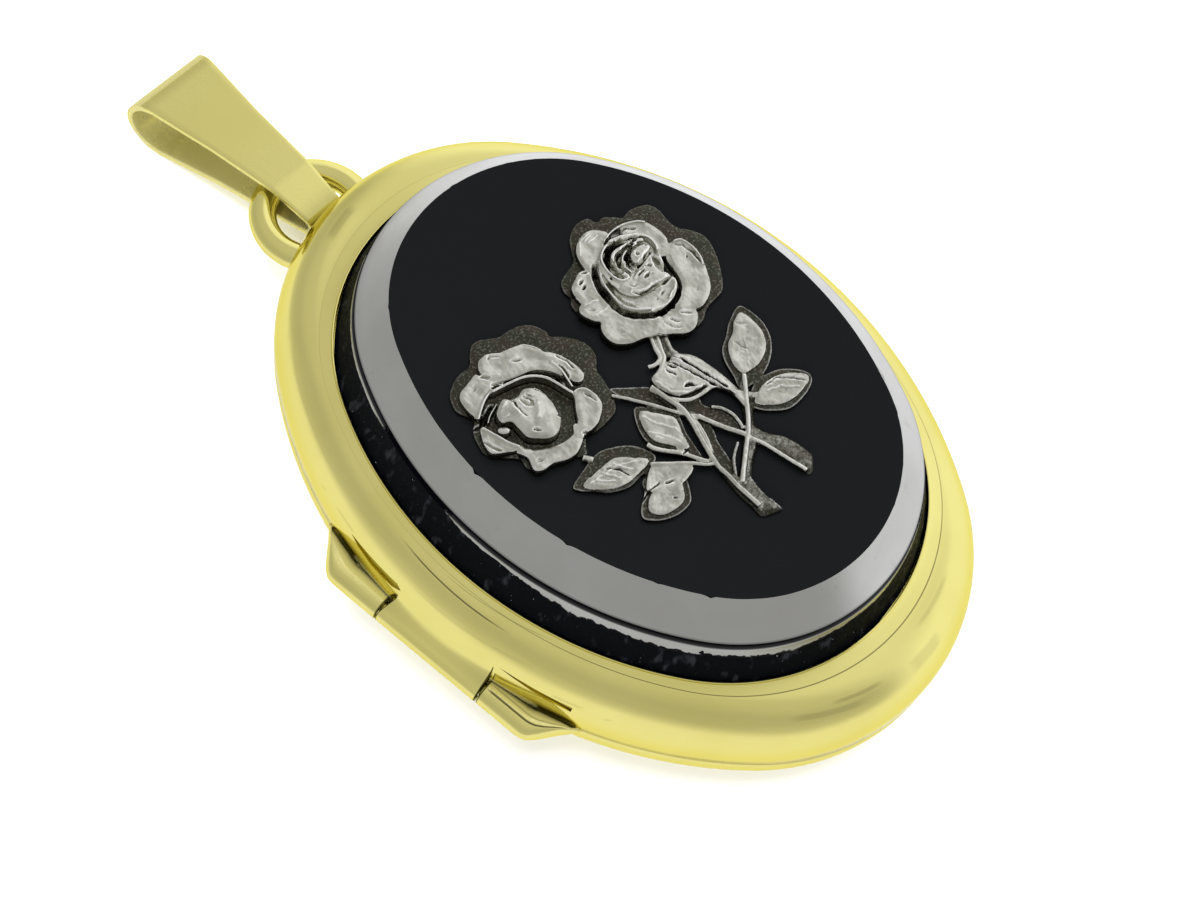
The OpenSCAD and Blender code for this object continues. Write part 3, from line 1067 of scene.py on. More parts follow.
def cast(name, parts, strokes, level, z, clean_from, fade=0.12):
    """Melts parts into one casting, works the strokes into it and stores where it is worn, with a painted
    highlight on the raised edges, and where it is tarnished.
    """
    piece = join(name, parts)
    modify(piece, "REMESH", mode="VOXEL", voxel_size=bpy.context.scene.locket_sizes.grain)
    modify(piece, "SMOOTH", factor=0.5, iterations=3)
    co = vertices_of(piece)
    noise.seed_set(NOISE_SEED)
    wobble = np.array([noise.noise_vector(Vector(p) * 3.5)[:2] for p in co])
    warped = co[:, :2] + 0.05 * wobble
    for path, width, depth in strokes:
        press(co, warped, path, width, depth, level, z)
    wave = np.array([noise.fractal(Vector(p) * 1.7, 0.5, 2.1, 3) for p in co])
    co[:, 2] += 0.02 * wave * np.clip((co[:, 2] - TABLE_Z - 0.1) / 0.2, 0, 1)
    co[:, 2] = np.maximum(co[:, 2], TABLE_Z + 0.012)
    set_vertices(piece, co)
    modify(piece, "SMOOTH", factor=0.5, iterations=1)
    co = vertices_of(piece)
    bulge = ((co - blurred(piece, co, 5)) * normals_of(piece)).sum(1)
    # Raised edges: partly real wear, partly a painted highlight
    write_values(piece, "edge", np.clip(bulge / 0.0165 - 0.3, 0, 1))
    write_values(piece, "tarnish", np.clip((clean_from - co[:, 2]) / fade, 0, 1))
    soften(piece, 80)
    place(piece, "lid", "oxidised_silver", cast_silver(), "rose_spray")


# The tops of petals and leaves, as insets (width, rise)
BASE_TOP = [(0.05, 0.05), (0.12, 0.02), (0.3, 0.04)]
PETAL_TOP = [(0.08, 0.045), (0.12, 0.015), (0.2, -0.03), (0.25, -0.02)]
BACKING_TOP = [(0.06, 0.0), (0.1, -0.03)]
BLADE_TOP = [(0.07, 0.04), (0.12, 0.01), (0.16, -0.03), (0.2, -0.02)]

# The upper rose. Outlines are points (x, y). A curl is its path, height, thickness and depth, and a
# stroke its path, width and depth, which is below 0 where the stroke is pressed in.
UPPER_BASE = [
    (-0.05, 2.5), (-0.3, 3.0), (-0.4, 3.5), (-0.3, 3.95), (-0.05, 4.2), (0.0, 4.6), (0.25, 4.95),
    (0.7, 5.1), (1.35, 5.2), (1.7, 5.55), (2.1, 6.0), (2.6, 6.25), (3.05, 6.3), (3.5, 6.15), (3.65, 5.75),
    (4.0, 5.7), (4.35, 5.4), (4.6, 5.1), (5.1, 5.1), (5.6, 4.9), (5.95, 4.6), (6.0, 4.1), (5.85, 3.5),
    (5.9, 3.0), (6.15, 2.6), (6.35, 2.0), (6.2, 1.4), (5.9, 0.9), (5.5, 0.4), (5.0, -0.1), (4.6, -0.3),
    (4.0, -0.3), (3.5, -0.35), (3.0, -0.55), (2.5, -0.55), (2.0, -0.35), (1.5, 0.1), (1.1, 0.4),
    (0.6, 0.75), (0.0, 1.05), (-0.3, 1.4), (-0.4, 1.85), (-0.3, 2.25),
]
UPPER_PETALS = [
    [(1.5, 4.3), (1.5, 4.8), (1.75, 5.3), (2.1, 5.6), (2.6, 5.75), (3.1, 5.65), (3.45, 5.25), (3.5, 4.9),
     (3.3, 4.3), (2.4, 4.0)],
    [(0.1, 3.6), (0.15, 4.1), (0.35, 4.45), (0.75, 4.6), (1.15, 4.7), (1.45, 4.5), (1.5, 4.1), (1.3, 3.7),
     (1.0, 3.4), (0.5, 3.45)],
    [(-0.35, 3.4), (-0.1, 3.65), (0.4, 3.6), (0.95, 3.5), (1.0, 2.9), (0.9, 2.4), (0.4, 2.4), (-0.1, 2.6),
     (-0.3, 3.0)],
    [(-0.4, 2.2), (-0.1, 2.5), (0.5, 2.6), (0.95, 2.4), (1.0, 1.9), (1.4, 1.4), (1.9, 1.0), (1.7, 0.6),
     (1.2, 0.45), (0.6, 0.75), (0.0, 1.0), (-0.4, 1.4), (-0.5, 1.8)],
    [(1.2, 0.4), (1.7, 0.75), (2.2, 0.85), (2.6, 0.6), (2.9, 0.3), (3.15, 0.05), (3.0, -0.25), (2.5, -0.5),
     (2.0, -0.4), (1.6, 0.0)],
    [(2.6, 0.55), (3.0, 0.85), (3.6, 1.1), (3.9, 1.5), (4.1, 2.0), (4.3, 2.5), (4.8, 2.8), (5.2, 2.75),
     (5.5, 2.5), (5.5, 1.9), (5.35, 1.3), (5.0, 0.8), (4.6, 0.3), (4.1, 0.0), (3.5, -0.1), (3.1, 0.1)],
    [(3.9, 4.6), (4.4, 4.75), (4.9, 4.5), (5.1, 4.1), (5.15, 3.5), (5.05, 3.0), (4.7, 2.7), (4.2, 2.6),
     (4.0, 3.4)],
]
UPPER_HEIGHTS = (11.0, 11.0, 11.02, 11.0, 11.0, 11.05, 11.1)
UPPER_CUP = [
    (2.2, 4.5), (1.75, 4.15), (1.4, 3.6), (1.2, 3.0), (1.12, 2.4), (1.3, 1.8), (1.7, 1.35), (2.2, 1.08),
    (2.8, 1.02), (3.4, 1.2), (3.72, 1.5), (3.7, 1.9), (4.0, 2.4), (4.3, 2.85), (4.6, 3.4), (4.5, 3.95),
    (4.1, 4.35), (3.6, 4.65), (3.0, 4.75),
]
UPPER_FOLD = [
    (1.7, 3.4), (1.6, 2.7), (1.9, 2.2), (2.4, 1.98), (3.1, 1.85), (3.6, 1.85), (3.5, 2.4), (3.3, 2.9),
    (2.6, 3.0), (2.1, 3.1),
]
UPPER_CORE = [(3.12, 3.2), (3.2, 3.55), (3.5, 3.68), (3.95, 3.6), (4.2, 3.4), (4.1, 3.18), (3.6, 3.1)]
UPPER_CURLS = [
    ([(1.9, 4.25), (1.5, 3.7), (1.3, 3.1), (1.2, 2.6), (1.22, 2.2), (1.45, 1.8),
      (1.9, 1.4)], 11.42, 0.09, 0.5),
    ([(2.15, 4.45), (1.9, 4.0), (1.72, 3.5), (1.68, 3.0)], 11.5, 0.1, 0.5),
    ([(2.45, 2.98), (2.1, 3.1), (1.98, 3.45), (2.05, 3.95), (2.3, 4.4), (2.75, 4.62), (3.2, 4.62),
      (3.75, 4.42), (4.2, 4.1), (4.48, 3.7), (4.48, 3.25), (4.3, 2.95)], 11.62, 0.09, 0.6),
    ([(2.42, 3.05), (2.36, 3.5), (2.5, 3.95), (2.9, 4.18), (3.4, 4.08), (3.9, 3.95),
      (4.25, 3.7)], 11.6, 0.15, 0.6),
    ([(2.66, 3.05), (2.68, 3.45), (2.9, 3.75), (3.3, 3.86), (3.9, 3.78)], 11.6, 0.07, 0.5),
    ([(2.95, 3.15), (2.98, 3.45), (3.1, 3.6)], 11.58, 0.06, 0.4),
    ([(3.05, 4.86), (3.7, 4.93), (4.3, 4.8), (4.8, 4.5), (5.05, 4.2)], 11.28, 0.08, 0.4),
    ([(5.15, 2.75), (5.45, 2.55), (5.5, 2.0), (5.35, 1.45), (5.1, 1.1)], 11.2, 0.08, 0.3),
    ([(2.5, 2.78), (2.8, 2.86), (3.1, 2.8), (3.3, 2.85)], 11.56, 0.07, 0.3),
    ([(2.55, 2.58), (2.8, 2.64), (3.1, 2.58), (3.35, 2.35)], 11.52, 0.07, 0.3),
]
UPPER_STROKES = [
    ([(1.95, 4.5), (1.45, 4.0), (1.12, 3.4), (0.97, 2.7), (1.0, 2.1), (1.3, 1.6), (1.8, 1.15),
      (2.5, 0.88)], 0.13, -0.26),
    ([(2.5, 0.88), (3.2, 0.95), (3.75, 1.25)], 0.12, -0.24),
    ([(1.48, 3.5), (1.38, 3.0), (1.34, 2.4), (1.5, 2.0)], 0.09, -0.22),
    ([(1.8, 2.4), (2.0, 2.12), (2.6, 1.95), (3.2, 1.78), (3.65, 1.72)], 0.07, -0.3),
    ([(2.2, 3.25), (2.18, 3.7), (2.35, 4.2), (2.8, 4.42), (3.3, 4.4), (3.9, 4.15),
      (4.25, 3.85)], 0.13, -0.55),
    ([(2.54, 3.2), (2.54, 3.6), (2.75, 3.92), (3.2, 3.97), (3.9, 3.86)], 0.055, -0.4),
    ([(2.82, 3.1), (2.84, 3.4), (3.05, 3.68), (3.5, 3.74)], 0.08, -0.5),
    ([(3.05, 3.03), (3.5, 3.08), (4.05, 3.12)], 0.06, -0.35),
    ([(3.35, 3.38)], 0.09, -0.25),
    ([(3.92, 3.34), (4.02, 3.36)], 0.08, -0.25),
    ([(3.5, 2.75)], 0.1, -0.25),
    ([(2.75, 2.44), (3.05, 2.46)], 0.1, -0.22),
    ([(2.0, 2.75), (2.08, 2.52), (2.25, 2.44)], 0.04, -0.12),
    ([(2.6, 2.7), (3.0, 2.72)], 0.04, -0.15),
    ([(3.95, 2.9), (3.8, 2.5), (3.75, 2.0)], 0.17, -0.3),
    ([(0.8, 4.35), (1.05, 4.35)], 0.07, -0.22),
    ([(0.72, 4.1), (1.02, 4.12)], 0.07, -0.22),
    ([(0.15, 3.25), (0.32, 3.15)], 0.08, -0.1),
    ([(0.1, 3.55), (0.8, 3.32)], 0.05, 0.05),
    ([(0.0, 2.95), (0.8, 2.8)], 0.05, 0.04),
    ([(0.2, 1.85), (0.35, 1.6)], 0.16, -0.05),
    ([(2.18, 0.55), (2.38, 0.15)], 0.06, -0.2),
    ([(1.85, 0.65), (1.95, 0.3), (2.15, 0.0)], 0.07, -0.1),
    ([(2.68, 0.42), (3.0, 0.08)], 0.055, -0.25),
    ([(5.0, 1.85), (5.12, 1.95)], 0.06, -0.15),
    ([(5.0, 1.6)], 0.06, -0.08),
    ([(4.0, 0.6), (4.15, 0.6)], 0.1, -0.06),
    ([(5.15, 2.6), (5.36, 2.4), (5.38, 1.8), (5.2, 1.3)], 0.05, -0.2),
    ([(2.55, 5.5), (3.0, 5.48)], 0.05, 0.04),
    ([(2.6, 5.35), (3.2, 5.3)], 0.05, 0.05),
    ([(1.9, 5.2), (2.4, 5.62), (3.0, 5.62)], 0.06, 0.04),
    ([(2.4, 1.48), (2.5, 1.5)], 0.05, -0.12),
    ([(2.7, 1.5), (2.95, 1.55)], 0.06, -0.14),
    ([(2.8, 1.15), (3.3, 1.3), (3.65, 1.45)], 0.05, 0.06),
    ([(3.0, 4.78), (3.6, 4.82), (4.2, 4.66), (4.6, 4.35)], 0.07, -0.25),
    ([(3.7, 2.2), (4.1, 2.1), (4.5, 2.4)], 0.25, -0.06),
    ([(1.3, 4.62), (1.5, 4.5)], 0.08, -0.2),
]

# The lower rose
LOWER_BASE = [
    (-7.15, 3.5), (-7.3, 4.2), (-7.1, 4.7), (-6.8, 5.0), (-6.3, 5.2), (-5.9, 5.25), (-5.4, 5.2),
    (-5.0, 5.5), (-4.6, 5.75), (-4.2, 5.7), (-3.8, 5.4), (-3.5, 5.2), (-3.0, 5.1), (-2.5, 4.9), (-2.1, 4.5),
    (-1.95, 3.9), (-2.0, 3.65), (-1.6, 3.2), (-1.3, 2.6), (-1.25, 2.2), (-1.4, 1.7), (-1.9, 1.25),
    (-2.1, 0.7), (-2.4, 0.0), (-2.8, -0.45), (-3.3, -0.55), (-4.1, -0.5), (-4.6, -0.35), (-4.9, -0.6),
    (-5.2, -0.85), (-5.5, -0.7), (-5.8, -0.45), (-6.3, -0.25), (-6.8, -0.1), (-7.2, 0.2), (-7.3, 0.6),
    (-7.2, 1.0), (-7.6, 1.5), (-7.95, 2.0), (-7.9, 2.5), (-7.6, 3.1),
]
LOWER_PETALS = [
    [(-6.9, 3.3), (-6.95, 3.8), (-6.8, 4.4), (-6.5, 4.65), (-6.0, 4.7), (-5.5, 4.75), (-5.35, 4.5),
     (-5.0, 4.1), (-4.95, 3.65), (-5.5, 3.85), (-6.0, 3.75), (-6.5, 3.5)],
    [(-5.3, 4.6), (-5.0, 5.0), (-4.6, 5.05), (-4.3, 4.9), (-4.0, 4.65), (-3.6, 4.5), (-3.2, 4.3),
     (-2.9, 3.9), (-2.75, 3.4), (-2.5, 2.9), (-2.35, 2.3), (-2.35, 1.75), (-2.6, 1.4), (-2.9, 1.5),
     (-3.1, 2.0), (-3.3, 2.6), (-3.7, 3.1), (-4.2, 3.35), (-4.8, 3.6), (-5.1, 3.9)],
    [(-3.4, 1.3), (-3.1, 1.3), (-2.8, 1.0), (-2.85, 0.4), (-3.05, 0.05), (-3.4, -0.15), (-3.8, -0.3),
     (-4.3, -0.25), (-4.6, 0.0), (-4.3, 0.35), (-3.9, 0.8), (-3.6, 1.1)],
    [(-7.0, 1.2), (-6.9, 0.8), (-7.15, 0.3), (-6.9, 0.0), (-6.4, -0.1), (-5.9, -0.4), (-5.5, -0.5),
     (-5.1, -0.45), (-4.6, -0.2), (-4.4, 0.2), (-5.0, 0.15), (-5.5, 0.25), (-6.0, 0.5), (-6.5, 0.9),
     (-6.8, 1.3)],
    [(-7.1, 3.0), (-6.98, 2.5), (-6.93, 2.0), (-6.75, 1.3), (-7.2, 1.5), (-7.7, 1.95), (-7.65, 2.4),
     (-7.4, 2.8)],
]
LOWER_HEIGHTS = (11.0, 11.08, 11.05, 10.98, 11.02)
LOWER_LUMP = [
    (-6.2, 1.4), (-6.15, 1.9), (-6.1, 2.3), (-6.4, 2.55), (-6.3, 2.9), (-6.0, 3.08), (-5.6, 3.2),
    (-5.4, 3.0), (-5.1, 2.85), (-4.7, 2.9), (-4.35, 2.65), (-4.22, 2.2), (-4.25, 1.7), (-4.45, 1.15),
    (-4.8, 0.8), (-5.2, 0.62), (-5.6, 0.7), (-5.95, 1.05),
]
LOWER_BEAD = [(-6.85, 2.4), (-6.7, 2.5), (-6.45, 2.3), (-6.4, 2.1), (-6.6, 2.05), (-6.8, 2.2)]
LOWER_CURLS = [
    ([(-5.6, 3.72), (-5.2, 3.6), (-4.8, 3.46), (-4.3, 3.26), (-3.9, 2.96), (-3.62, 2.55), (-3.5, 2.05),
      (-3.45, 1.6), (-3.4, 1.3)], 11.28, 0.12, 0.6),
    ([(-6.9, 3.35), (-6.5, 3.55), (-6.0, 3.74), (-5.5, 3.8)], 11.15, 0.1, 0.4),
    ([(-7.1, 3.0), (-6.98, 2.4), (-6.9, 1.9), (-6.72, 1.35)], 11.15, 0.1, 0.3),
    ([(-3.5, 1.25), (-3.2, 1.3), (-2.9, 1.05), (-2.85, 0.5)], 11.18, 0.08, 0.3),
    ([(-2.9, 2.9), (-2.9, 2.4), (-3.05, 1.9), (-3.2, 1.5)], 11.22, 0.08, 0.3),
    ([(-6.8, 2.95), (-6.5, 3.1), (-6.1, 3.2), (-5.9, 3.25)], 11.0, 0.07, 0.3),
]
LOWER_STROKES = [
    ([(-3.95, 3.25), (-3.6, 3.0), (-3.35, 2.6), (-3.22, 2.2), (-3.2, 1.9)], 0.08, -0.32),
    ([(-5.45, 2.8), (-5.55, 2.4), (-5.62, 1.95)], 0.05, -0.3),
    ([(-5.5, 3.05), (-5.4, 2.85)], 0.06, -0.25),
    ([(-5.2, 2.65), (-5.2, 2.3), (-5.05, 2.1), (-4.95, 2.3), (-5.0, 2.65)], 0.08, -0.2),
    ([(-4.85, 2.65), (-4.78, 2.3)], 0.05, -0.2),
    ([(-4.42, 2.55), (-4.3, 2.1)], 0.05, -0.2),
    ([(-4.25, 2.0), (-4.3, 1.5), (-4.6, 1.0)], 0.12, -0.08),
    ([(-5.85, 1.35), (-5.7, 1.15)], 0.07, -0.22),
    ([(-4.7, 1.1), (-4.6, 1.05)], 0.07, -0.2),
    ([(-3.95, 4.1), (-3.6, 3.82)], 0.06, -0.25),
    ([(-5.35, 4.5), (-5.1, 4.25)], 0.1, -0.18),
    ([(-4.6, 4.8), (-4.4, 4.85), (-4.15, 4.6)], 0.05, -0.12),
    ([(-2.75, 2.55), (-2.85, 2.1), (-2.95, 1.9)], 0.07, -0.3),
    ([(-2.5, 2.9), (-2.4, 2.4), (-2.45, 2.0)], 0.05, -0.18),
    ([(-5.3, 4.0), (-4.95, 3.72)], 0.06, -0.22),
    ([(-6.1, 4.35), (-5.8, 4.4)], 0.16, -0.07),
    ([(-7.45, 2.55), (-7.42, 2.1), (-7.3, 1.8)], 0.09, -0.18),
    ([(-3.0, 1.0), (-3.0, 0.4)], 0.05, -0.2),
    ([(-4.45, -0.1), (-4.3, -0.25)], 0.08, -0.25),
    ([(-6.7, 0.45), (-6.4, 0.35)], 0.13, -0.1),
    ([(-3.15, 4.4), (-2.85, 3.9), (-2.6, 3.3), (-2.3, 2.6)], 0.05, 0.05),
    ([(-7.2, 3.3), (-6.9, 3.15), (-6.4, 3.3), (-5.9, 3.45)], 0.1, -0.2),
    ([(-6.0, 2.9), (-5.7, 2.95)], 0.12, 0.06),
    ([(-5.3, 1.6), (-4.9, 1.9)], 0.45, 0.07),
    ([(-4.7, 3.55), (-4.62, 3.5)], 0.06, -0.12),
]

# The sprig. A leaf is its backing's outline and its blade's, and a stem its path, height and radius.
LEAVES = [
    ([(1.7, -3.6), (2.0, -3.0), (2.3, -2.3), (2.7, -1.85), (3.3, -1.6), (3.9, -1.3), (4.8, -1.1),
      (5.0, -1.5), (4.95, -2.3), (4.6, -3.0), (4.0, -3.5), (3.2, -3.8), (2.4, -3.8)],
     [(2.4, -3.2), (2.4, -2.7), (2.7, -2.2), (3.1, -1.85), (3.6, -1.7), (4.1, -1.4), (4.65, -1.35),
      (4.7, -2.0), (4.5, -2.7), (4.0, -3.2), (3.3, -3.4), (2.8, -3.35)]),
    ([(1.45, -4.4), (1.7, -4.05), (2.25, -3.85), (2.9, -3.9), (3.6, -4.2), (4.15, -4.8), (4.32, -5.3),
      (4.0, -5.6), (3.2, -5.72), (2.4, -5.6), (1.85, -5.15), (1.5, -4.7)],
     [(1.65, -4.45), (1.9, -4.25), (2.45, -4.1), (3.0, -4.2), (3.65, -4.5), (4.1, -5.05), (4.1, -5.35),
      (3.5, -5.5), (2.7, -5.4), (2.1, -5.05)]),
    ([(-1.9, -0.85), (-2.3, -1.1), (-2.7, -1.7), (-2.85, -2.3), (-2.6, -2.9), (-2.35, -3.4), (-2.2, -4.0),
      (-1.9, -4.4), (-1.65, -3.8), (-1.4, -3.1), (-1.0, -2.4), (-1.2, -1.9), (-1.5, -1.4)],
     [(-1.95, -1.15), (-2.3, -1.4), (-2.55, -1.9), (-2.6, -2.4), (-2.35, -2.9), (-2.15, -3.3), (-1.9, -3.6),
      (-1.6, -3.1), (-1.2, -2.4), (-1.4, -1.9), (-1.65, -1.5)]),
    ([(-6.4, -1.2), (-5.5, -1.05), (-4.6, -1.0), (-4.0, -1.3), (-3.5, -1.7), (-3.2, -2.2), (-3.1, -2.8),
      (-3.5, -3.0), (-4.2, -2.95), (-4.9, -2.9), (-5.6, -2.5), (-6.1, -1.9), (-6.4, -1.5)],
     [(-6.1, -1.5), (-5.2, -1.48), (-4.4, -1.6), (-4.0, -1.9), (-3.7, -2.3), (-3.5, -2.75), (-4.5, -2.8),
      (-5.2, -2.6), (-5.8, -2.1)]),
    ([(-5.6, -4.1), (-5.3, -3.8), (-4.7, -3.5), (-4.4, -3.15), (-3.9, -3.05), (-3.4, -3.1), (-3.0, -3.6),
      (-2.5, -4.25), (-3.0, -4.4), (-3.4, -4.85), (-3.8, -5.15), (-4.5, -5.1), (-5.1, -4.8), (-5.5, -4.4)],
     [(-5.2, -4.15), (-4.8, -3.8), (-4.2, -3.7), (-3.6, -3.8), (-3.2, -4.1), (-3.5, -4.6), (-3.9, -4.9),
      (-4.5, -4.85), (-5.0, -4.6)]),
]
BUD = [
    (-0.4, -0.5), (0.3, -0.5), (0.7, -0.55), (1.1, -0.5), (1.5, -0.9), (1.7, -1.5), (1.75, -2.5),
    (1.7, -3.2), (1.6, -3.8), (1.35, -3.6), (1.15, -2.9), (0.8, -2.5), (0.3, -2.3), (-0.2, -2.0),
    (-0.5, -1.5), (-0.6, -0.9),
]
FAN = [
    (-3.7, -3.0), (-3.35, -3.25), (-2.45, -4.2), (-3.05, -4.4), (-3.5, -4.3), (-4.0, -4.0), (-4.5, -3.6),
    (-4.4, -3.35),
]
WEBS = [
    [(-2.05, 0.4), (-1.85, 0.35), (-1.35, -0.15), (-0.85, -0.65), (-0.75, -1.1), (-0.8, -1.85),
     (-0.9, -2.4), (-1.3, -1.5), (-1.7, -0.7), (-2.0, -0.15)],
    [(-0.9, -1.4), (-0.55, -1.7), (-0.2, -2.1), (0.4, -2.35), (0.1, -2.75), (0.2, -3.15), (0.45, -3.5),
     (0.55, -4.1), (0.4, -4.7), (0.15, -4.9), (-0.1, -4.3), (-0.35, -3.55), (-0.5, -3.0), (-0.75, -2.35)],
    [(-0.8, -2.5), (-0.55, -3.25), (-0.5, -3.8), (-0.85, -4.35), (-1.1, -5.05), (-1.4, -5.55),
     (-1.75, -5.85), (-1.75, -5.15), (-1.7, -4.85), (-1.2, -4.0), (-0.9, -3.25)],
]
STOCKS = [
    [(1.45, -3.7), (1.85, -4.0), (1.45, -4.45), (0.9, -4.9), (0.6, -5.3), (0.05, -5.7), (-0.55, -5.95),
     (-1.3, -6.35), (-1.75, -6.05), (-1.0, -5.6), (-0.2, -5.1), (0.35, -4.8), (0.85, -4.35)],
    [(-1.85, -4.6), (-1.6, -4.85), (-1.65, -5.45), (-1.6, -6.0), (-1.15, -6.25), (-1.3, -6.55),
     (-1.45, -7.2), (-1.4, -7.9), (-1.5, -8.1), (-1.85, -7.95), (-2.3, -7.65), (-2.25, -7.1), (-2.2, -6.4),
     (-2.05, -5.75), (-1.9, -5.1)],
    [(0.7, -4.8), (0.8, -5.2), (0.9, -5.6), (1.2, -6.1), (1.35, -6.7), (1.38, -7.35), (1.3, -7.65),
     (0.85, -8.0), (0.55, -8.0), (0.5, -7.7), (0.45, -7.1), (0.35, -6.25), (0.15, -5.2)],
]
STEMS = [
    ([(2.35, -3.25), (1.8, -3.75), (1.45, -4.05), (0.95, -4.5), (0.45, -4.9), (-0.15, -5.25),
      (-1.65, -6.15)], 10.76, 0.12),
    ([(-0.8, -0.75), (-0.75, -1.45), (-0.7, -2.3), (-0.85, -2.9), (-1.15, -3.55)], 10.76, 0.13),
    ([(-1.15, -3.55), (-1.7, -4.85), (-1.8, -5.55), (-1.9, -6.15), (-1.95, -6.8),
      (-2.0, -7.3)], 10.77, 0.12),
    ([(-0.7, -2.5), (-0.8, -3.25), (-1.1, -3.95), (-1.5, -4.55), (-1.75, -5.0)], 10.72, 0.09),
    ([(0.2, -5.2), (0.35, -5.8), (0.45, -6.6), (0.55, -7.35), (0.62, -7.8)], 10.74, 0.1),
    ([(-2.2, 0.2), (-1.7, -0.7), (-1.3, -1.5), (-0.9, -2.4), (-0.5, -3.0)], 10.72, 0.09),
    ([(-0.5, -3.0), (-0.35, -3.55), (-0.1, -4.3), (0.15, -4.9), (0.2, -5.2)], 10.74, 0.12),
    ([(-0.9, -0.8), (-0.8, -1.3), (-0.55, -1.85), (-0.15, -2.3), (0.4, -2.5), (0.9, -2.6),
      (1.35, -2.8)], 10.72, 0.1),
    ([(1.35, -2.8), (1.4, -3.25), (1.35, -3.75), (1.25, -4.15)], 10.74, 0.12),
    ([(0.2, -3.15), (0.45, -3.5), (0.55, -4.0), (0.45, -4.45), (0.3, -4.75)], 10.68, 0.09),
    ([(-3.55, -2.9), (-2.85, -3.6), (-2.35, -4.15), (-2.0, -4.6), (-1.75, -4.8)], 10.8, 0.09),
    ([(-2.95, -2.25), (-2.85, -2.7), (-2.3, -3.55), (-2.05, -4.2), (-1.85, -4.6)], 10.7, 0.12),
    ([(-0.3, -4.95), (-1.0, -5.25), (-1.55, -5.75), (-1.8, -6.05)], 10.64, 0.08),
    ([(1.1, 0.75), (0.75, 0.2), (0.55, -0.2), (0.15, -0.25), (-0.15, -0.1)], 10.72, 0.11),
    ([(1.3, 0.55), (0.9, 0.0), (0.65, -0.35), (0.15, -0.55), (-0.3, -0.6)], 10.74, 0.1),
    ([(1.55, 0.3), (1.2, -0.3), (1.2, -0.6)], 10.68, 0.1),
    ([(1.4, 0.5), (1.0, 0.0), (0.85, -0.5)], 10.5, 0.2),
    ([(1.3, -3.0), (1.4, -3.6), (1.3, -4.1)], 10.56, 0.2),
    ([(1.6, -3.8), (1.9, -4.2), (2.2, -4.4)], 10.62, 0.16),
    ([(1.5, -3.8), (2.0, -3.4), (2.45, -3.2)], 10.63, 0.1),
    ([(-5.2, -0.7), (-5.0, -1.1)], 10.6, 0.16),
]
SPRIG_STROKES = [
    ([(0.9, -0.55), (1.05, -1.2), (1.15, -2.0), (1.25, -2.8), (1.4, -3.6)], 0.07, 0.09),
    ([(0.55, -0.6), (0.8, -1.1), (0.95, -1.8), (1.0, -2.4)], 0.06, 0.07),
    ([(-0.45, -0.7), (-0.35, -1.5), (0.1, -2.05), (0.8, -2.3)], 0.06, 0.06),
    ([(0.75, -0.7), (0.93, -1.5), (1.05, -2.3), (1.15, -2.7)], 0.075, -0.26),
    ([(1.15, -0.8), (1.25, -1.6), (1.33, -2.4), (1.42, -3.1)], 0.09, -0.3),
    ([(0.2, -1.75), (0.45, -1.85), (0.6, -2.1)], 0.1, -0.24),
    ([(0.3, -0.7), (0.4, -1.2)], 0.06, -0.2),
    ([(0.5, -0.65), (0.7, -1.0)], 0.07, -0.24),
    ([(-0.3, -1.9), (0.3, -2.25), (0.9, -2.42)], 0.06, -0.16),
    ([(-2.5, -1.9), (-2.2, -2.4), (-1.9, -3.2)], 0.05, 0.04),
    ([(-2.1, -1.3), (-1.9, -2.0), (-1.6, -2.6), (-1.6, -3.1)], 0.05, 0.04),
    ([(-2.3, -3.6), (-1.9, -3.65)], 0.05, -0.12),
    ([(-5.6, -1.75), (-5.1, -2.3)], 0.05, 0.06),
    ([(-5.2, -1.65), (-4.8, -2.4)], 0.05, 0.06),
    ([(-4.9, -1.7), (-4.55, -2.1), (-4.5, -2.6)], 0.05, -0.12),
    ([(-4.6, -1.75), (-4.2, -2.5)], 0.05, 0.06),
    ([(-5.9, -1.65), (-4.6, -1.9), (-3.8, -2.4)], 0.05, 0.05),
    ([(-5.0, -3.62), (-4.5, -3.6), (-3.9, -3.66)], 0.05, -0.14),
    ([(-3.8, -3.85), (-3.45, -4.05)], 0.06, -0.16),
    ([(-4.05, -4.5), (-3.95, -4.6)], 0.07, -0.12),
    ([(2.6, -4.2), (3.2, -4.35), (3.7, -4.9), (3.9, -5.3)], 0.05, -0.1),
    ([(2.4, -4.4), (3.0, -4.7), (3.5, -5.3)], 0.05, 0.04),
    ([(2.8, -3.2), (3.4, -2.6), (3.9, -2.1)], 0.06, 0.015),
    ([(3.3, -2.0), (3.45, -2.6)], 0.05, -0.05),
    ([(0.65, -7.85)], 0.4, -0.05),
    ([(-1.95, -7.7)], 0.35, -0.05),
    ([(4.05, -1.5), (4.4, -1.9)], 0.06, -0.06),
]


def rose(name, base, petals, curls, strokes, z, clean_from):
    """One cast rose from its base, its petals as (outline, height, top), its curls and its strokes."""
    parts = [petal(base, 10.6, BASE_TOP)]
    parts += [petal(*row) for row in petals]
    parts += [curl(*row) for row in curls]
    cast(name, parts, strokes, ROSE_LEVEL, z, clean_from)


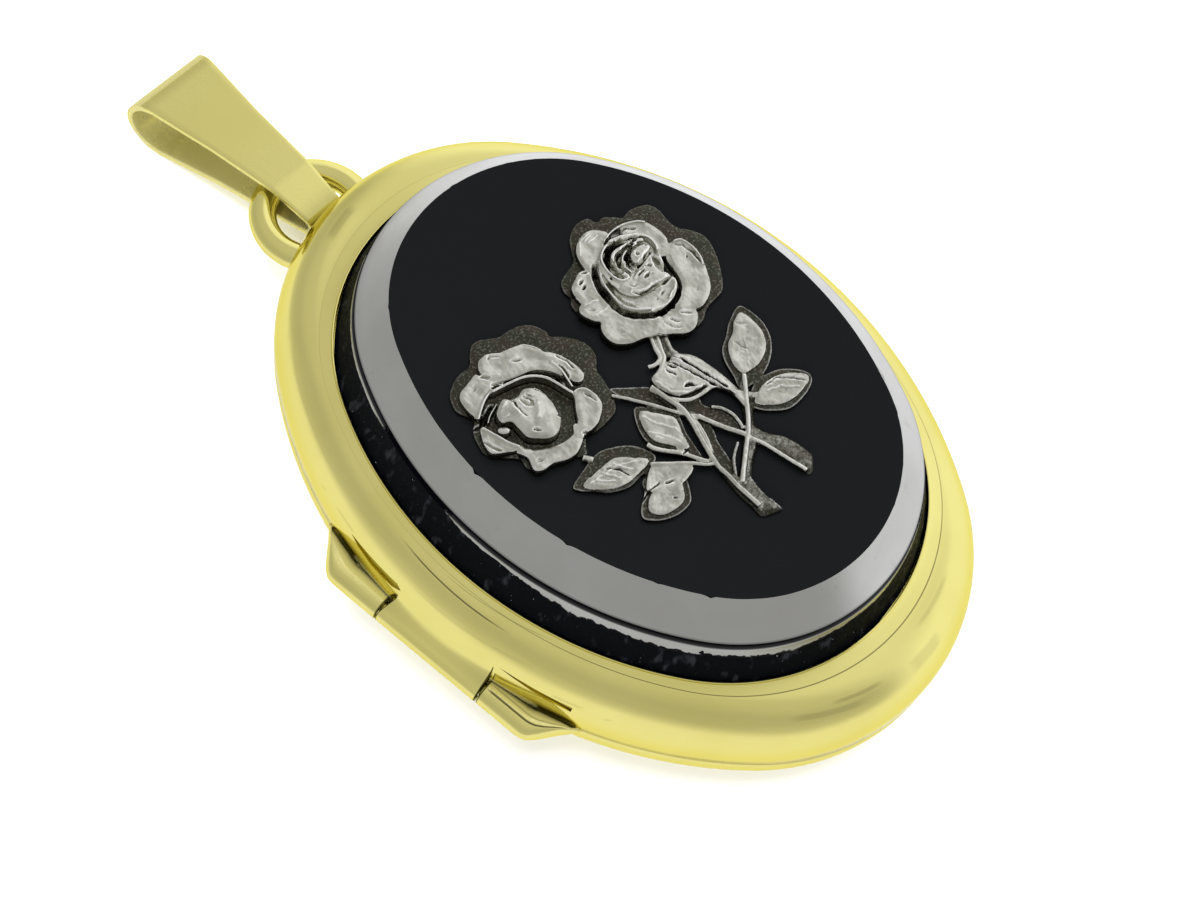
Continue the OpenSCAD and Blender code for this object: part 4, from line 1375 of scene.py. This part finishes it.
class LOCKET_OT_roses(bpy.types.Operator):
    """Build the two cast roses, petal by petal"""

    bl_idname = "locket.roses"
    bl_label = "Add Roses"

    def execute(self, context):
        upper = [(outline, z, PETAL_TOP) for outline, z in zip(UPPER_PETALS, UPPER_HEIGHTS)]
        upper += [
            (UPPER_CUP, 11.25, [(0.08, 0.02), (0.2, -0.06)]),
            (UPPER_FOLD, 11.44, [(0.1, 0.03), (0.2, 0.02)]),
            (UPPER_CORE, 11.6, [(0.06, 0.03)]),
        ]
        rose("rose_upper", UPPER_BASE, upper, UPPER_CURLS, UPPER_STROKES, z=11.25, clean_from=10.94)
        lower = [(outline, z, PETAL_TOP) for outline, z in zip(LOWER_PETALS, LOWER_HEIGHTS)]
        lower += [
            (LOWER_LUMP, 11.3, [(0.08, 0.07), (0.15, 0.07), (0.25, 0.05)]),
            (LOWER_BEAD, 11.1, [(0.05, 0.05), (0.06, 0.03)]),
        ]
        rose("rose_lower", LOWER_BASE, lower, LOWER_CURLS, LOWER_STROKES, z=11.2, clean_from=10.9)
        return {"FINISHED"}


class LOCKET_OT_sprig(bpy.types.Operator):
    """Build the cast stems, leaves and bud"""

    bl_idname = "locket.sprig"
    bl_label = "Add Sprig"

    def execute(self, context):
        rows = []
        for backing, blade in LEAVES:
            rows += [(backing, 10.66, BACKING_TOP), (blade, 10.77, BLADE_TOP)]
        rows.append((BUD, 10.73, [(0.08, 0.04), (0.15, 0.05)]))
        rows.append((FAN, 10.8, [(0.08, 0.02), (0.2, -0.03)]))
        rows += [(outline, 10.58, [(0.05, 0.03), (0.08, -0.04)]) for outline in WEBS]
        rows += [(outline, 10.55, [(0.07, 0.08), (0.09, 0.07)]) for outline in STOCKS]
        parts = [petal(*row, SPRIG_LEVEL) for row in rows]
        parts += [stem(*row) for row in STEMS]
        cast("sprig", parts, SPRIG_STROKES, SPRIG_LEVEL, z=10.8, clean_from=10.86, fade=0.25)
        return {"FINISHED"}


# Bail


def tangent(a, b, side):
    """The angle in degrees at which a straight line touches two circles (y, z, radius) on one side."""
    run, rise = b[0] - a[0], b[1] - a[1]
    lean = math.acos((a[2] - b[2]) / math.hypot(run, rise))
    return math.degrees(math.atan2(rise, run)) + side * math.degrees(lean)


class LOCKET_OT_bail(bpy.types.Operator):
    """Build the folded bail from one strip"""

    bl_idname = "locket.bail"
    bl_label = "Add Bail"

    def execute(self, context):
        sizes = context.scene.locket_sizes

        # Circles (y, z, radius) that the strip goes round, at its foot, its eye and its top
        foot, eye, top = circles = [(18.1, 2.45, 0.64), (20.0, 2.45, 1.1), (26.73, 1.69, 1.67)]
        outline = (
            arc(*top, tangent(eye, top, -1), tangent(eye, top, 1), 26)
            + arc(*eye, tangent(eye, top, 1), tangent(foot, eye, 1), 4)
            + arc(*foot, tangent(foot, eye, 1), tangent(foot, eye, -1) + 360, 16)
            + arc(*eye, tangent(foot, eye, -1) + 360, tangent(eye, top, -1) + 360, 4)[1:]
        )
        piece = trace("bail_strip", [point(-1, y, z) for y, z in outline], True)
        with editing(piece, "EDGE"):
            for _ in range(6):
                extrude(point(2 / 6, 0, 0))
            bpy.ops.mesh.select_all(action="SELECT")
            bpy.ops.mesh.subdivide(number_cuts=1)
        half_top = sizes.bail_width / MM / 2
        co = vertices_of(piece)
        co[:, 0] *= np.interp(co[:, 1], [17.4, 18.5, 21.4, 24.0, 28.4], [1.0, 1.07, 1.3, 1.58, half_top])
        set_vertices(piece, co)
        face_out(piece)
        modify(piece, "SOLIDIFY", thickness=sizes.bail_thickness, offset=-1.0, use_even_offset=True)
        round_edges(piece, 0.07, 3)
        co = vertices_of(piece)
        # Painted shade on the strip just past its fold at the foot
        write_values(piece, "crease", 0.3 * ease(-co[:, 1], -18.62, -18.5) * (co[:, 2] > 2.4))
        # Painted shade: the darker inside gold on the strip's inner faces
        centre_y, centre_z, radius = np.array(circles).T
        middle = np.interp(co[:, 1], centre_y, centre_z)
        half = np.interp(co[:, 1], centre_y, radius)
        inside = np.abs(co[:, 2] - middle) < half - sizes.bail_thickness / MM * 0.6
        write_values(piece, "inner", (inside & (co[:, 1] < 28.25) & (co[:, 1] > 17.7)) * 1.0)

        # Turned a little about its pivot and moved aside, as it hangs
        pivot = 20.5
        turn = Matrix.Translation(point(0.32, pivot, 0)) @ Matrix.Rotation(math.radians(-2), 4, "Z")
        piece.data.transform(turn @ Matrix.Translation(point(0, -pivot, 0)))
        face_out(piece)
        soften(piece, 35)
        place(piece, "bail", "satin_gold", gold_finish("brushed_gold", *SATIN), "bail")
        return {"FINISHED"}


# Stage


class LOCKET_OT_stage(bpy.types.Operator):
    """Add the floor, the soft lights and the camera"""

    bl_idname = "locket.stage"
    bl_label = "Add Stage"

    def execute(self, context):
        bpy.ops.object.select_all(action="DESELECT")
        bpy.ops.mesh.primitive_plane_add(size=3.0, location=point(0, 0, -0.02))
        floor = context.object
        floor.name = "floor"
        floor.data.materials.append(floor_finish())
        floor.visible_glossy = False
        context.scene.world = studio_light()

        # Area lights, in metres and watts, which shine at the middle of the case
        aim = Vector((0, 0, 0.004))
        for name, place_at, size, power in (
            ("overhead_light", (0.05, 0.06, 0.35), 0.3, 2.2),
            ("front_light", (-0.28, -0.12, 0.12), 0.25, 1.6),
            ("side_light", (-0.05, 0.35, 0.22), 0.25, 0.35),
        ):
            bpy.ops.object.light_add(type="AREA", location=place_at)
            light = context.object
            light.name = name
            light.data.size = size
            light.data.energy = power
            light.rotation_euler = (aim - Vector(place_at)).to_track_quat("-Z", "Y").to_euler()
            light.visible_glossy = False

        camera_data = bpy.data.cameras.new("camera")
        camera = bpy.data.objects.new("camera", camera_data)
        context.scene.collection.objects.link(camera)
        right = Vector((0.6178, -0.7729, 0.1444))
        up = Vector((0.6601, 0.6097, 0.4388))
        back = Vector((-0.4272, -0.1758, 0.8869))
        turn = Matrix((right, up, back)).transposed().to_4x4()
        camera.matrix_world = Matrix.Translation(point(-38.04, -14.83, 80.55)) @ turn
        camera_data.sensor_width = 36
        camera_data.lens = 59.1
        camera_data.clip_start = 0.005
        camera_data.clip_end = 10
        context.scene.camera = camera
        context.scene.view_settings.view_transform = "Standard"
        return {"FINISHED"}


class LOCKET_PT_panel(bpy.types.Panel):
    """The steps, the sizes and the colours"""

    bl_label = "Locket"
    bl_idname = "LOCKET_PT_panel"
    bl_space_type = "VIEW_3D"
    bl_region_type = "UI"
    bl_category = "Locket"

    def draw(self, context):
        for step in STEPS:
            self.layout.operator(step.bl_idname)
        for group in (context.scene.locket_sizes, context.scene.locket_colours):
            for name in type(group).__annotations__:
                self.layout.prop(group, name)


STEPS = (
    LOCKET_OT_stage,
    LOCKET_OT_back,
    LOCKET_OT_lid,
    LOCKET_OT_stone,
    LOCKET_OT_band,
    LOCKET_OT_roses,
    LOCKET_OT_sprig,
    LOCKET_OT_bail,
)
CLASSES = (LocketSizes, LocketColours, *STEPS, LOCKET_PT_panel)


def register():
    """Registers the classes and gives the scene its settings."""
    for item in CLASSES:
        bpy.utils.register_class(item)
    bpy.types.Scene.locket_sizes = bpy.props.PointerProperty(type=LocketSizes)
    bpy.types.Scene.locket_colours = bpy.props.PointerProperty(type=LocketColours)


def unregister():
    """Takes the settings and the classes away again."""
    del bpy.types.Scene.locket_colours
    del bpy.types.Scene.locket_sizes
    for item in reversed(CLASSES):
        bpy.utils.unregister_class(item)


def main():
    """Builds the locket step by step."""
    register()
    for step in STEPS:
        getattr(bpy.ops.locket, step.bl_idname.split(".")[1])()


if __name__ == "__main__":
    main()
